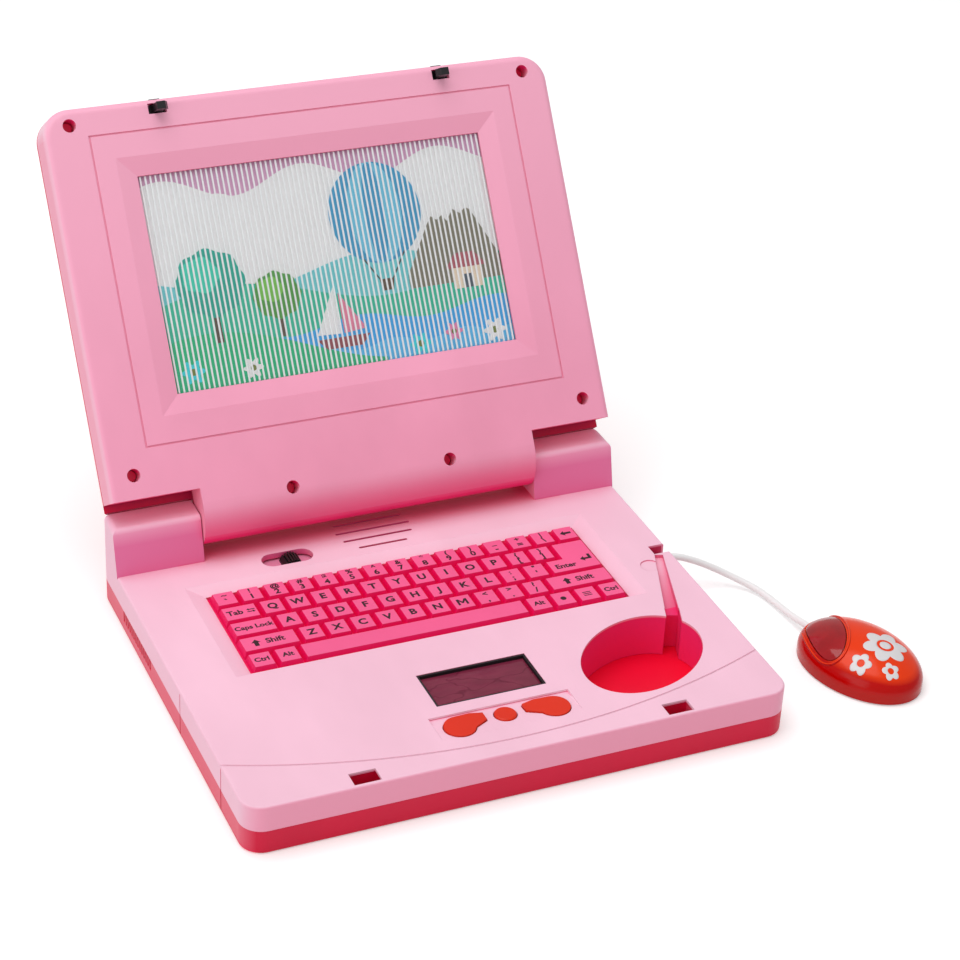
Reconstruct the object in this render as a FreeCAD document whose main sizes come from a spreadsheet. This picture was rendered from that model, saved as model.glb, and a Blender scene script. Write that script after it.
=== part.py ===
import FreeCAD, Part
import math
import os
import Sketcher

# Toy laptop: X to the right, Y to the back, Z up, origin at the centre of the base's underside.
# Lid pieces are drawn flat about the hinge axis, mouse pieces about the mouse's centre,
# and both are then placed.

doc = FreeCAD.newDocument("toy_laptop")
sheet = doc.addObject("Spreadsheet::Sheet", "sizes")

CELLS = [
    # base
    ("base_width", "228"),
    ("base_depth", "190"),
    ("base_height", "21.5"),
    ("parting_height", "10.5"),
    ("side_wall", "2.0"),
    ("floor_wall", "2.2"),
    ("deck_thick", "2.6"),
    ("corner_round", "9"),
    ("bottom_round", "1.2"),
    ("deck_round", "1.0"),
    ("line_width", "0.7"),
    ("line_deep", "0.5"),
    ("front_line_in", "29.2"),
    ("middle_line_in", "79.7"),
    ("arc_line_in", "7.8"),
    ("arc_line_radius", "307.6"),
    ("vent_in", "119"),
    ("vent_pitch", "2.8"),
    ("vent_slot", "1.5"),
    ("vent_deep", "0.8"),
    # hinge
    ("hinge_rise", "14.3"),
    ("hinge_inset", "13.6"),
    ("hump_width", "38"),
    ("hump_front", "11.5"),
    ("hump_top", "5.5"),
    ("hump_top_fore", "6.2"),
    ("hump_top_back", "7.0"),
    ("hump_shoulder", "2.6"),
    ("hump_shoulder_back", "8.6"),
    ("hump_heel", "11.5"),
    ("hump_round", "2.8"),
    ("hump_wall", "2.4"),
    ("pin_radius", "3"),
    ("pin_in_hump", "12"),
    ("pin_in_barrel", "11"),
    ("pin_press", "0.02"),
    ("pin_running", "0.08"),
    ("hump_gap", "0.4"),
    # lid
    ("lid_angle", "124"),
    ("lid_gap", "0.7"),
    ("lid_side_in", "0.3"),
    ("lid_front_in", "0.5"),
    ("lid_cover_deep", "4.4"),
    ("lid_corner", "12"),
    ("lid_face_round", "3"),
    ("lid_back_round", "3"),
    ("lid_wall", "2.0"),
    ("lid_face_thick", "3.0"),
    ("lid_foot", "12.2"),
    ("cover_skirt", "4.2"),
    ("skirt_clear", "9.4"),
    ("lid_face_end", "6.0"),
    ("barrel_radius", "10.8"),
    ("barrel_wall", "2.5"),
    ("frame_line_side", "18.6"),
    ("frame_line_low", "32.4"),
    ("frame_line_top", "12.3"),
    ("screen_side", "17.95"),
    ("screen_foot", "20.1"),
    ("screen_top", "18.9"),
    ("bevel_wide", "8.3"),
    ("bevel_deep", "2.0"),
    ("sheet_lap", "3.5"),
    ("sheet_thick", "1.0"),
    ("rib_count", "70"),
    ("rib_wide", "0.7"),
    ("rib_high", "0.35"),
    ("card_thick", "0.4"),
    ("backing_thick", "1.2"),
    ("backing_lap", "9.5"),
    ("lid_screw_side", "11.5"),
    ("lid_screw_low", "22.1"),
    ("lid_screw_top", "7.2"),
    ("barrel_screw_x", "35.8"),
    ("barrel_screw_up", "6.0"),
    ("lid_screw_seat", "5.0"),
    ("lid_screw_sink", "2.8"),
    # latches
    ("latch_x", "63.8"),
    ("latch_top", "4.1"),
    ("stem_wide", "3.6"),
    ("stem_thick", "3.2"),
    ("tooth_long", "1.6"),
    ("tooth_fore", "3.7"),
    ("hook_fore", "6.4"),
    ("latch_in", "1.6"),
    ("latch_out", "2.0"),
    ("slide_gap", "0.3"),
    ("slider_wide", "12"),
    ("slider_tall", "8"),
    ("slider_thick", "1.7"),
    ("tab_wide", "4.6"),
    ("tab_proud", "0.4"),
    ("keeper_wide", "20"),
    ("keeper_thick", "1.5"),
    ("keeper_screw_x", "6"),
    ("keeper_screw_down", "10.3"),
    ("slot_skin", "1.3"),
    ("deck_slot_inner", "3.8"),
    ("deck_slot_outer", "7.1"),
    ("deck_slot_fore", "3.0"),
    ("deck_slot_wide", "7.1"),
    # keyboard
    ("keys_side_in", "30.8"),
    ("keys_front_in", "82.9"),
    ("keys_rear_in", "48.1"),
    ("tray_side", "7.0"),
    ("tray_front", "0.9"),
    ("tray_back", "6.6"),
    ("tray_deep", "2.0"),
    ("tray_wall", "1.2"),
    ("key_gap", "0.5"),
    ("key_taper", "1.1"),
    ("key_over", "0.4"),
    ("key_edge", "0.8"),
    ("web_under", "2.8"),
    ("flange_lap", "2.0"),
    ("flange_thick", "1.2"),
    ("under_gap", "0.3"),
    ("key_travel", "0.8"),
    ("board_thick", "1.6"),
    ("key_board_lap", "7.6"),
    ("boss_radius", "2.4"),
    # display and buttons
    ("window_x", "23.4"),
    ("window_front_in", "37.0"),
    ("window_depth", "22.0"),
    ("window_sunk", "1.6"),
    ("window_thick", "1.2"),
    ("frame_wall", "0.8"),
    ("fit_gap", "0.1"),
    ("panel_thick", "3.0"),
    ("control_x", "33"),
    ("control_front_in", "11"),
    ("control_depth", "54"),
    ("control_screw_in", "3"),
    ("recess_x", "29.65"),
    ("recess_front_in", "15.8"),
    ("recess_depth", "14.9"),
    ("recess_sunk", "1.0"),
    ("button_front_in", "24.0"),
    ("button_radius", "4.5"),
    ("wing_x", "20.0"),
    ("wing_back", "2.0"),
    ("wing_radius", "6.4"),
    ("wing_tip_x", "8.3"),
    ("wing_tip_half", "2.2"),
    ("button_gap", "0.3"),
    ("button_over", "0.3"),
    ("button_lip", "1.2"),
    ("button_lip_thick", "1.0"),
    ("button_travel", "0.7"),
    ("pad_thick", "0.6"),
    # power switch
    ("switch_x", "42.3"),
    ("switch_rear_in", "33.0"),
    ("switch_slot", "22.6"),
    ("switch_slot_wide", "9.6"),
    ("knob_shift", "1.85"),
    ("knob_wide", "8.7"),
    ("knob_deep", "7.0"),
    ("knob_over", "0.4"),
    ("knob_plate", "29"),
    ("knob_plate_deep", "12.5"),
    ("knob_groove", "0.5"),
    ("switch_body_long", "20"),
    ("switch_body_wide", "8"),
    ("switch_body_high", "5"),
    ("switch_gap", "0.3"),
    ("switch_board_x", "15.5"),
    ("switch_screw_y", "9.6"),
    # speaker
    ("speaker_rear_in", "23.0"),
    ("speaker_radius", "18.4"),
    ("speaker_deep", "9.4"),
    ("magnet_radius", "9.5"),
    ("magnet_high", "5.4"),
    ("slot_circle", "17"),
    ("slot_pitch", "6.45"),
    ("slot_wide", "1.3"),
    ("ring_wall", "1.6"),
    # mouse well and cord
    ("well_x", "68.5"),
    ("well_front_in", "42.9"),
    ("well_turn", "31.2"),
    ("well_gap", "1.0"),
    ("well_wall", "1.6"),
    ("channel_in", "6.0"),
    ("channel_rear_in", "83.0"),
    ("channel_long", "47"),
    ("channel_turn", "161"),
    ("channel_wide", "6.2"),
    ("channel_mouth", "3.6"),
    ("dimple_in", "13.2"),
    ("dimple_rear_in", "89.4"),
    ("dimple_radius", "4.3"),
    ("dimple_deep", "0.5"),
    ("channel_start", "1.5"),
    ("channel_end", "4.0"),
    ("notch_in", "7.5"),
    ("notch_rear_in", "78.85"),
    ("notch_wide", "6.3"),
    ("notch_deep", "7.2"),
    ("cord_radius", "1.5"),
    ("cord_down", "4.0"),
    ("cord_lead", "9.0"),
    ("grommet_lip", "0.9"),
    ("grommet_radius", "2.4"),
    # mouse
    ("mouse_x", "164.5"),
    ("mouse_front_in", "30.0"),
    ("mouse_turn", "108"),
    ("mouse_long", "29.5"),
    ("mouse_half", "20.84"),
    ("skirt_high", "4.0"),
    ("dome_high", "13.0"),
    ("mouse_wall", "1.8"),
    ("skirt_lift", "0.6"),
    ("plate_thick", "1.8"),
    ("plate_gap", "0.2"),
    ("lens_x", "15.5"),
    ("lens_y", "5.5"),
    ("lens_long", "19.0"),
    ("lens_half", "7.1"),
    ("lens_turn", "-35"),
    ("lens_base", "8.6"),
    ("lens_gap", "0.35"),
    ("lens_travel", "0.7"),
    ("nose_in", "2.5"),
    ("cord_at_mouse", "5.5"),
    ("mouse_board_lift", "1.7"),
    ("mouse_board_thick", "1.2"),
    # screws and cells
    ("screw_radius", "1.25"),
    ("screw_gap", "0.05"),
    ("head_radius", "2.5"),
    ("head_high", "1.8"),
    ("head_gap", "0.3"),
    ("case_screw_in", "9.5"),
    ("case_screw_back", "38.0"),
    ("case_screw_rear_x", "42"),
    ("case_boss", "4.4"),
    ("case_seat", "5.0"),
    ("case_join", "9.0"),
    ("small_screw", "0.9"),
    ("small_head", "1.9"),
    ("small_head_high", "1.3"),
    ("cell_long", "49.5"),
    ("cell_radius", "7.25"),
    ("cell_nub", "1.0"),
    ("cell_nub_radius", "2.75"),
    ("cell_gap", "0.5"),
    ("cell_spring", "6.5"),
    ("contact_thick", "0.4"),
    ("bay_side_in", "42"),
    ("bay_front_in", "47"),
    ("bay_wall", "1.5"),
    ("bay_high", "12"),
    ("lid_ledge", "1.1"),
    ("ledge_wide", "2.0"),
    ("cover_gap", "0.3"),
    ("cover_tab", "10"),
]

for row, (alias, number) in enumerate(CELLS, start=1):
    sheet.set("A%d" % row, alias)
    sheet.set("B%d" % row, number)
    sheet.setAlias("B%d" % row, alias)
doc.recompute()


class Size:
    # a number together with the sheet expression that gives it
    def __init__(self, value, text):
        self.value = float(value)
        self.text = text

    def __add__(self, other):
        other = size(other)
        return Size(self.value + other.value, "(%s + %s)" % (self.text, other.text))

    def __radd__(self, other):
        return size(other) + self

    def __sub__(self, other):
        other = size(other)
        return Size(self.value - other.value, "(%s - %s)" % (self.text, other.text))

    def __rsub__(self, other):
        return size(other) - self

    def __mul__(self, other):
        other = size(other)
        return Size(self.value * other.value, "(%s * %s)" % (self.text, other.text))

    def __rmul__(self, other):
        return size(other) * self

    def __truediv__(self, other):
        other = size(other)
        return Size(self.value / other.value, "(%s / %s)" % (self.text, other.text))

    def __neg__(self):
        return size(0) - self


def size(number):
    if isinstance(number, Size):
        return number
    return Size(number, "%.6f" % number)


class Sheet:
    # sizes of the sheet by name
    pass


s = Sheet()
for alias, number in CELLS:
    setattr(s, alias, Size(sheet.get(alias), "sizes." + alias))

nodes = []


def bind(thing, name, value):
    thing.setExpression(name, size(value).text)


def put(thing, x=0, y=0, z=0):
    bind(thing, "Placement.Base.x", x)
    bind(thing, "Placement.Base.y", y)
    bind(thing, "Placement.Base.z", z)


def turn(thing, axis, degrees):
    thing.Placement = FreeCAD.Placement(FreeCAD.Vector(0, 0, 0), FreeCAD.Rotation(FreeCAD.Vector(*axis), 10))
    bind(thing, "Placement.Rotation.Angle", degrees)


def box(name, x0, x1, y0, y1, z0, z1):
    thing = doc.addObject("Part::Box", name)
    bind(thing, "Length", size(x1) - x0)
    bind(thing, "Width", size(y1) - y0)
    bind(thing, "Height", size(z1) - z0)
    put(thing, x0, y0, z0)
    return thing


def cylinder(name, x, y, z0, z1, radius):
    thing = doc.addObject("Part::Cylinder", name)
    bind(thing, "Radius", radius)
    bind(thing, "Height", size(z1) - z0)
    put(thing, x, y, z0)
    return thing


def rod(name, x0, x1, y, z, radius):
    # a cylinder that lies along X
    thing = doc.addObject("Part::Cylinder", name)
    bind(thing, "Radius", radius)
    bind(thing, "Height", size(x1) - x0)
    turn(thing, (0, 1, 0), 90)
    put(thing, x0, y, z)
    return thing


def frustum(name, low, high):
    # low and high are (x0, x1, y0, y1, z)
    thing = doc.addObject("Part::Wedge", name)
    bind(thing, "Xmin", low[0])
    bind(thing, "Xmax", low[1])
    bind(thing, "Zmin", -size(low[3]))
    bind(thing, "Zmax", -size(low[2]))
    bind(thing, "Ymin", low[4])
    bind(thing, "X2min", high[0])
    bind(thing, "X2max", high[1])
    bind(thing, "Z2min", -size(high[3]))
    bind(thing, "Z2max", -size(high[2]))
    bind(thing, "Ymax", high[4])
    turn(thing, (1, 0, 0), 90)
    return thing


def oval(name, x, y, z0, z1, major, minor, degrees):
    # an upright column of elliptical section
    ring = doc.addObject("Part::Ellipse", name + "_ring")
    bind(ring, "MajorRadius", major)
    bind(ring, "MinorRadius", minor)
    turn(ring, (0, 0, 1), degrees)
    put(ring, x, y, z0)
    thing = doc.addObject("Part::Extrusion", name)
    thing.Base = ring
    thing.DirMode = "Custom"
    thing.Dir = FreeCAD.Vector(0, 0, 1)
    thing.Solid = True
    bind(thing, "LengthFwd", size(z1) - z0)
    return thing


def capsule(name, x, y, z0, z1, length, width):
    # a slot with round ends, along X
    half = (size(length) - width) / 2
    middle = box(name + "_middle", x - half, x + half, y - width / 2, y + width / 2, z0, z1)
    left = cylinder(name + "_left", x - half, y, z0, z1, width / 2)
    right = cylinder(name + "_right", x + half, y, z0, z1, width / 2)
    return fuse(name, [middle, left, right])


def fuse(name, things):
    thing = doc.addObject("Part::MultiFuse", name)
    thing.Shapes = things
    return thing


def cut(name, base, tools):
    thing = doc.addObject("Part::Cut", name)
    thing.Base = base
    thing.Tool = tools[0] if len(tools) == 1 else fuse(name + "_tools", tools)
    return thing


def common(name, base, tool):
    thing = doc.addObject("Part::Common", name)
    thing.Base = base
    thing.Tool = tool
    return thing


def group(name, things):
    thing = doc.addObject("Part::Compound", name)
    thing.Links = things
    return thing


def rounded(name, base, radius, wanted):
    # rounds the edges of base for which wanted(edge) holds
    doc.recompute()
    edges = [i for i, edge in enumerate(base.Shape.Edges, start=1) if wanted(edge)]
    thing = doc.addObject("Part::Fillet", name)
    thing.Base = base
    thing.Edges = [(i, size(radius).value, size(radius).value) for i in edges]
    return thing


def upright(edge):
    bounds = edge.BoundBox
    return bounds.XLength + bounds.YLength < 1e-6


def level_at(z):
    return lambda edge: abs(edge.BoundBox.ZMin - z) + abs(edge.BoundBox.ZMax - z) < 1e-6


def plate(name, half_x, y0, y1, z0, z1, radius):
    # a flat block with four round upright edges
    block = box(name + "_block", -size(half_x), half_x, y0, y1, z0, z1)
    return rounded(name, block, radius, upright)


def sketch_in(body, name, role):
    sketch = body.newObject("Sketcher::SketchObject", name)
    plane = [p for p in body.Origin.OriginFeatures if p.Role == role][0]
    sketch.AttachmentSupport = (plane, "")
    sketch.MapMode = "FlatFace"
    return sketch


def fix(sketch, geometry, point, x, y, name):
    # holds a point of the sketch at x, y
    for kind, axis, value in (("DistanceX", -2, x), ("DistanceY", -1, y)):
        if not isinstance(value, Size) and value == 0:
            sketch.addConstraint(Sketcher.Constraint("PointOnObject", geometry, point, axis))
            continue
        label = name + kind[-1].lower()
        index = sketch.addConstraint(Sketcher.Constraint(kind, -1, 1, geometry, point, size(value).value))
        sketch.renameConstraint(index, label)
        sketch.setExpression("Constraints." + label, size(value).text)


def outline(sketch, points):
    # a closed run of straight lines through points
    flat = [FreeCAD.Vector(size(x).value, size(y).value, 0) for x, y in points]
    count = len(points)
    for i in range(count):
        sketch.addGeometry(Part.LineSegment(flat[i], flat[(i + 1) % count]), False)
    for i in range(count):
        sketch.addConstraint(Sketcher.Constraint("Coincident", i, 2, (i + 1) % count, 1))
    for i, (x, y) in enumerate(points):
        fix(sketch, i, 1, x, y, "p%d" % i)


def turned(name, points):
    # a body of revolution about Z from (radius, height) points
    body = doc.addObject("PartDesign::Body", name)
    sketch = sketch_in(body, name + "_profile", "XZ_Plane")
    outline(sketch, points)
    revolution = body.newObject("PartDesign::Revolution", name + "_turn")
    revolution.Profile = sketch
    revolution.ReferenceAxis = (sketch, ["V_Axis"])
    revolution.Angle = 360
    body.Tip = revolution
    return body


def padded(name, role, points, length, midplane=False):
    # a body made by padding a straight-sided outline
    body = doc.addObject("PartDesign::Body", name)
    sketch = sketch_in(body, name + "_outline", role)
    outline(sketch, points)
    pad = body.newObject("PartDesign::Pad", name + "_pad")
    pad.Profile = sketch
    pad.Midplane = midplane
    bind(pad, "Length", length)
    body.Tip = pad
    return body


def screw(name, x, y, seat, length, down, radius=s.screw_radius, head=s.head_radius, high=s.head_high):
    # a screw whose head rests on height seat; its shank runs down, or up where down is False
    points = [
        (0, -size(high)),
        (head, -size(high)),
        (head, 0),
        (radius, 0),
        (radius, length),
        (0, length),
    ]
    body = turned(name, points)
    if down:
        flip = FreeCAD.Rotation(FreeCAD.Vector(1, 0, 0), 180)
        body.Placement = FreeCAD.Placement(FreeCAD.Vector(0, 0, 0), flip)
    put(body, x, y, seat)
    return body


def node(thing, label):
    thing.Label = label
    nodes.append(thing)
    return thing


def lid_node(thing, label):
    thing = group(label + "_placed", [thing])
    turn(thing, (1, 0, 0), 180 - s.lid_angle)
    put(thing, 0, axis_y, axis_z)
    return node(thing, label)


def mouse_node(thing, label):
    thing = group(label + "_placed", [thing])
    turn(thing, (0, 0, 1), s.mouse_turn)
    put(thing, s.mouse_x, mouse_y, 0)
    return node(thing, label)


# values worked out from the sheet
half = s.base_width / 2
front = -s.base_depth / 2
rear = s.base_depth / 2
deck_top = s.base_height
deck_under = s.base_height - s.deck_thick
axis_y = rear - s.hinge_inset
axis_z = deck_top + s.hinge_rise
face = s.hinge_rise - s.lid_gap
lid_half = half - s.lid_side_in
lid_reach = s.base_depth - s.hinge_inset - s.lid_front_in
frame_line_x = lid_half - s.frame_line_side
frame_line_high = lid_reach - s.frame_line_top
screen_x = frame_line_x - s.screen_side
screen_low = s.frame_line_low + s.screen_foot
screen_high = frame_line_high - s.screen_top
lid_screw_x = lid_half - s.lid_screw_side
lid_screw_high = lid_reach - s.lid_screw_top
latch_up = lid_reach - s.latch_top
deck_slot_front = axis_y - latch_up - s.deck_slot_fore
keys_x = half - s.keys_side_in
channel_x = half - s.channel_in
bay_x = half - s.bay_side_in
barrel_end = half - s.hump_width - s.hump_gap
pilot = s.screw_radius + s.screw_gap
small_pilot = s.small_screw + s.screw_gap
mouse_y = front + s.mouse_front_in
well_y = front + s.well_front_in
well_long = s.mouse_long + s.well_gap
well_half = s.mouse_half + s.well_gap
keys_front = front + s.keys_front_in
keys_back = rear - s.keys_rear_in
tray_low = deck_top - s.tray_deep - s.tray_wall
keypad_top = tray_low - s.under_gap
keypad_low = keypad_top - s.flange_thick
key_board_top = keypad_low - s.key_travel - s.screw_gap * 4
window_front = front + s.window_front_in
window_back = window_front + s.window_depth
window_top = deck_top - s.window_sunk
window_low = window_top - s.window_thick
control_top = window_low - s.panel_thick
control_front = front + s.control_front_in
control_back = control_front + s.control_depth
button_y = front + s.button_front_in
button_top = deck_top + s.button_over
button_lip_top = deck_under - s.under_gap
button_lip_low = button_lip_top - s.button_lip_thick
switch_y = rear - s.switch_rear_in
knob_x = s.knob_shift - s.switch_x
speaker_y = rear - s.speaker_rear_in
bay_y = front + s.bay_front_in
bay_half_y = s.cell_radius * 3 + s.cell_gap * 2
cell_length = s.cell_long + s.cell_nub
bay_long = cell_length + s.cell_spring + s.contact_thick * 2
bay_left = -bay_x - bay_long / 2
bay_right = -bay_x + bay_long / 2
cell_z = s.floor_wall + s.screw_gap + s.cell_radius
notch_y = rear - s.notch_rear_in
notch_x = half - s.notch_in
notch_low = deck_top - s.notch_deep
cord_z = deck_top - s.cord_down
channel_y = rear - s.channel_rear_in
case_spots = [
    (-half + s.case_screw_in, front + s.case_screw_in),
    (half - s.case_screw_in, front + s.case_screw_in),
    (-half + s.case_screw_in, rear - s.case_screw_back),
    (half - s.case_screw_in, rear - s.case_screw_back),
    (-s.case_screw_rear_x, rear - s.case_screw_in),
    (s.case_screw_rear_x, rear - s.case_screw_in),
]
key_board_x = keys_x + s.key_board_lap
key_screw_x = key_board_x - s.boss_radius - s.screw_gap
key_spots = [
    (-key_screw_x, keys_front + s.boss_radius),
    (key_screw_x, keys_front + s.boss_radius),
    (-key_screw_x, keys_back - s.boss_radius),
    (key_screw_x, keys_back - s.boss_radius),
]
control_spots = [
    (-s.control_x + s.control_screw_in, control_front + s.control_screw_in),
    (s.control_x - s.control_screw_in, control_front + s.control_screw_in),
    (-s.control_x + s.control_screw_in, control_back - s.control_screw_in),
    (s.control_x - s.control_screw_in, control_back - s.control_screw_in),
]
switch_spots = [
    (-s.switch_x, switch_y - s.switch_screw_y),
    (-s.switch_x, switch_y + s.switch_screw_y),
]
switch_stem_low = keypad_low - s.switch_body_high / 2
switch_body_top = switch_stem_low - s.switch_gap
switch_board_top = switch_body_top - s.switch_body_high
lid_spots = [
    (-lid_screw_x, s.lid_screw_low),
    (lid_screw_x, s.lid_screw_low),
    (-lid_screw_x, lid_screw_high),
    (lid_screw_x, lid_screw_high),
]
barrel_spots = [
    (-s.barrel_screw_x, s.barrel_screw_up),
    (s.barrel_screw_x, s.barrel_screw_up),
]
face_under = face - s.lid_face_thick
sheet_low = face_under - s.sheet_thick
card_low = sheet_low - s.card_thick
backing_low = card_low - s.backing_thick
backing_x = screen_x + s.backing_lap
backing_spots = [
    (-backing_x + s.boss_radius, screen_low - s.backing_lap + s.boss_radius),
    (backing_x - s.boss_radius, screen_low - s.backing_lap + s.boss_radius),
    (-backing_x + s.boss_radius, screen_high + s.backing_lap - s.boss_radius),
    (backing_x - s.boss_radius, screen_high + s.backing_lap - s.boss_radius),
]
slider_top = face_under - s.slide_gap
slider_low = slider_top - s.slider_thick
keeper_top = slider_low - s.slide_gap
slider_high = lid_reach - s.lid_wall - s.slide_gap
slider_base = slider_high - s.slider_tall
keeper_screw_up = slider_high - s.keeper_screw_down - s.boss_radius
keeper_base = keeper_screw_up - s.boss_radius


# lower case
def side_lines(name, z0, z1):
    # the shallow upright lines on both sides of the base
    tools = []
    for i, inset in enumerate((s.front_line_in, s.middle_line_in)):
        y = front + inset
        for sign, word in ((-1, "left"), (1, "right")):
            inner = sign * (half - s.line_deep)
            outer = sign * (half + 1)
            low, high = (inner, outer) if sign > 0 else (outer, inner)
            label = "%s_line_%s_%d" % (name, word, i)
            tools.append(box(label, low, high, y - s.line_width / 2, y + s.line_width / 2, z0, z1))
    return tools


case_block = plate("case_block", half, front, rear, 0, s.parting_height, s.corner_round)
case_outer = rounded("case_outer", case_block, s.bottom_round, level_at(0.0))
case_inside = plate(
    "case_inside", half - s.side_wall, front + s.side_wall, rear - s.side_wall,
    s.floor_wall, s.parting_height + 1, s.corner_round - s.side_wall)
case_shell = cut("case_shell", case_outer, [case_inside])
case_bosses = []
case_holes = []
for i, (x, y) in enumerate(case_spots):
    case_bosses.append(cylinder("case_boss_%d" % i, x, y, s.floor_wall / 2, s.case_join, s.case_boss))
    case_holes.append(cylinder("case_sink_%d" % i, x, y, -1, s.case_seat, s.head_radius + s.head_gap))
    case_holes.append(cylinder("case_hole_%d" % i, x, y, 0, s.case_join + 1, s.screw_radius + s.head_gap))
bay_outer = box(
    "bay_outer", bay_left - s.bay_wall, bay_right + s.bay_wall, bay_y - bay_half_y - s.bay_wall,
    bay_y + bay_half_y + s.bay_wall, s.floor_wall / 2, s.bay_high)
bay_inside = box(
    "bay_inside", bay_left, bay_right, bay_y - bay_half_y, bay_y + bay_half_y, -1, s.bay_high + 1)
cover_x0 = bay_left - s.ledge_wide
cover_x1 = bay_right + s.ledge_wide
cover_y0 = bay_y - bay_half_y - s.ledge_wide
cover_y1 = bay_y + bay_half_y + s.ledge_wide
cover_ledge = box("cover_ledge", cover_x0, cover_x1, cover_y0, cover_y1, -1, s.lid_ledge)
tab_y = cover_y0 - s.cover_tab / 2
tab_hole = box(
    "tab_hole", -bay_x - s.cover_tab / 2, -bay_x + s.cover_tab / 2,
    cover_y0 - s.cover_tab, cover_y0 + 1, -1, s.lid_ledge)
tab_boss = cylinder("tab_boss", -bay_x, tab_y, s.floor_wall / 2, s.case_join, s.case_boss)
tab_pilot = cylinder("tab_pilot", -bay_x, tab_y, 0, s.case_join - s.head_gap, pilot)
vents = []
for i in range(14):
    y = front + s.vent_in + s.vent_pitch * i
    for sign, word in ((-1, "left"), (1, "right")):
        inner = sign * (half - s.vent_deep)
        outer = sign * (half + 1)
        low, high = (inner, outer) if sign > 0 else (outer, inner)
        vents.append(box("vent_%s_%d" % (word, i), low, high, y, y + s.vent_slot,
                         s.parting_height / 2, s.parting_height + 1))
pockets = []
pocket_insides = []
slot_recesses = []
pocket_front = front + s.side_wall + s.cover_gap
pocket_back = deck_slot_front + s.deck_slot_wide + s.cover_gap
for sign, word in ((-1, "left"), (1, "right")):
    inner = s.latch_x - s.deck_slot_inner - s.latch_in - s.cover_gap
    outer = s.latch_x + s.deck_slot_outer + s.cover_gap
    ends = (sign * inner, sign * outer)
    low, high = (ends[1], ends[0]) if sign < 0 else ends
    pockets.append(box(
        "pocket_" + word, low - s.bay_wall, high + s.bay_wall, pocket_front, pocket_back + s.bay_wall,
        s.floor_wall / 2, deck_top - s.slot_skin - s.under_gap))
    slot_recesses.append(box(
        "slot_recess_" + word, low - s.bay_wall - s.cover_gap, high + s.bay_wall + s.cover_gap,
        front + s.side_wall, pocket_back + s.bay_wall + s.cover_gap, deck_under - 1, deck_top - s.slot_skin))
    pocket_insides.append(box(
        "pocket_inside_" + word, low, high, pocket_front - s.fit_gap, pocket_back, s.floor_wall, deck_top))
case_solid = fuse("case_solid", [case_shell, bay_outer, tab_boss] + case_bosses + pockets)
lower_case = cut(
    "lower_case_cut", case_solid,
    [bay_inside, cover_ledge, tab_hole, tab_pilot] + case_holes + vents + pocket_insides
    + side_lines("case", s.bottom_round, s.parting_height + 1))
node(lower_case, "lower_case")

cover_low = box(
    "battery_cover_plate", cover_x0 + s.cover_gap, cover_x1 - s.cover_gap, cover_y0 + s.cover_gap,
    cover_y1 - s.cover_gap, 0, s.lid_ledge)
cover_high = box(
    "battery_cover_raise", bay_left + s.cover_gap, bay_right - s.cover_gap, bay_y - bay_half_y + s.cover_gap,
    bay_y + bay_half_y - s.cover_gap, 0, s.floor_wall)
cover_tongue = box(
    "battery_cover_tab", -bay_x - s.cover_tab / 2 + s.cover_gap, -bay_x + s.cover_tab / 2 - s.cover_gap,
    cover_y0 - s.cover_tab + s.cover_gap, cover_y0 + s.ledge_wide, 0, s.lid_ledge)
cover_hole = cylinder("battery_cover_hole", -bay_x, tab_y, -1, s.lid_ledge + 1, s.screw_radius + s.head_gap)
cover_solid = fuse("battery_cover_solid", [cover_low, cover_high, cover_tongue])
node(cut("battery_cover_cut", cover_solid, [cover_hole]), "battery_cover")
cover_screw_long = s.case_join - s.head_gap * 4
# the cover's screw has a low head that stands below the tab
node(screw("cover_screw_body", -bay_x, tab_y, s.lid_ledge - s.lid_ledge, cover_screw_long, False,
           high=s.screw_gap * 4), "battery_cover_screw")
node(group("case_screw_set", [
    screw("case_screw_%d" % i, x, y, s.case_seat, deck_under - s.case_seat - s.deck_thick, False)
    for i, (x, y) in enumerate(case_spots)]), "case_screws")

# cells, contacts and springs
cells = []
contacts = []
springs = []
for i in (-1, 0, 1):
    y = bay_y + i * (s.cell_radius * 2 + s.cell_gap)
    start = bay_left + s.contact_thick
    word = "%d" % (i + 1)
    nub = rod("cell_nub_" + word, start, start + s.cell_nub + 1, y, cell_z, s.cell_nub_radius)
    can = rod("cell_can_" + word, start + s.cell_nub, start + cell_length, y, cell_z, s.cell_radius)
    cells.append(fuse("cell_" + word, [nub, can]))
    contacts.append(box("contact_left_" + word, bay_left, start, y - s.cell_nub_radius * 2,
                        y + s.cell_nub_radius * 2, cell_z - s.cell_nub_radius * 2, s.bay_high))
    contacts.append(box("contact_right_" + word, bay_right - s.contact_thick, bay_right,
                        y - s.cell_nub_radius * 2, y + s.cell_nub_radius * 2,
                        cell_z - s.cell_nub_radius * 2, s.bay_high))
    cone = doc.addObject("Part::Cone", "spring_" + word)
    bind(cone, "Radius1", s.cell_nub_radius)
    bind(cone, "Radius2", s.cell_nub_radius * 1.6)
    bind(cone, "Height", s.cell_spring)
    turn(cone, (0, 1, 0), 90)
    put(cone, start + cell_length, y, cell_z)
    springs.append(cone)
node(group("cell_set", cells), "batteries")
node(group("contact_set", contacts), "battery_contacts")
node(group("spring_set", springs), "battery_springs")


# upper deck
def hump_profile(name, length):
    # leaning front, flat top over the hinge axis and a sloping back above an upright heel
    foot_z = deck_top - s.deck_thick / 2
    points = [
        (axis_y - s.hump_front, foot_z),
        (rear, foot_z),
        (rear, deck_top + s.hump_heel),
        (axis_y + s.hump_shoulder_back, axis_z + s.hump_shoulder),
        (axis_y + s.hump_top_back, axis_z + s.hump_top),
        (axis_y - s.hump_top_fore, axis_z + s.hump_top),
    ]
    return padded(name, "YZ_Plane", points, length)


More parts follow.
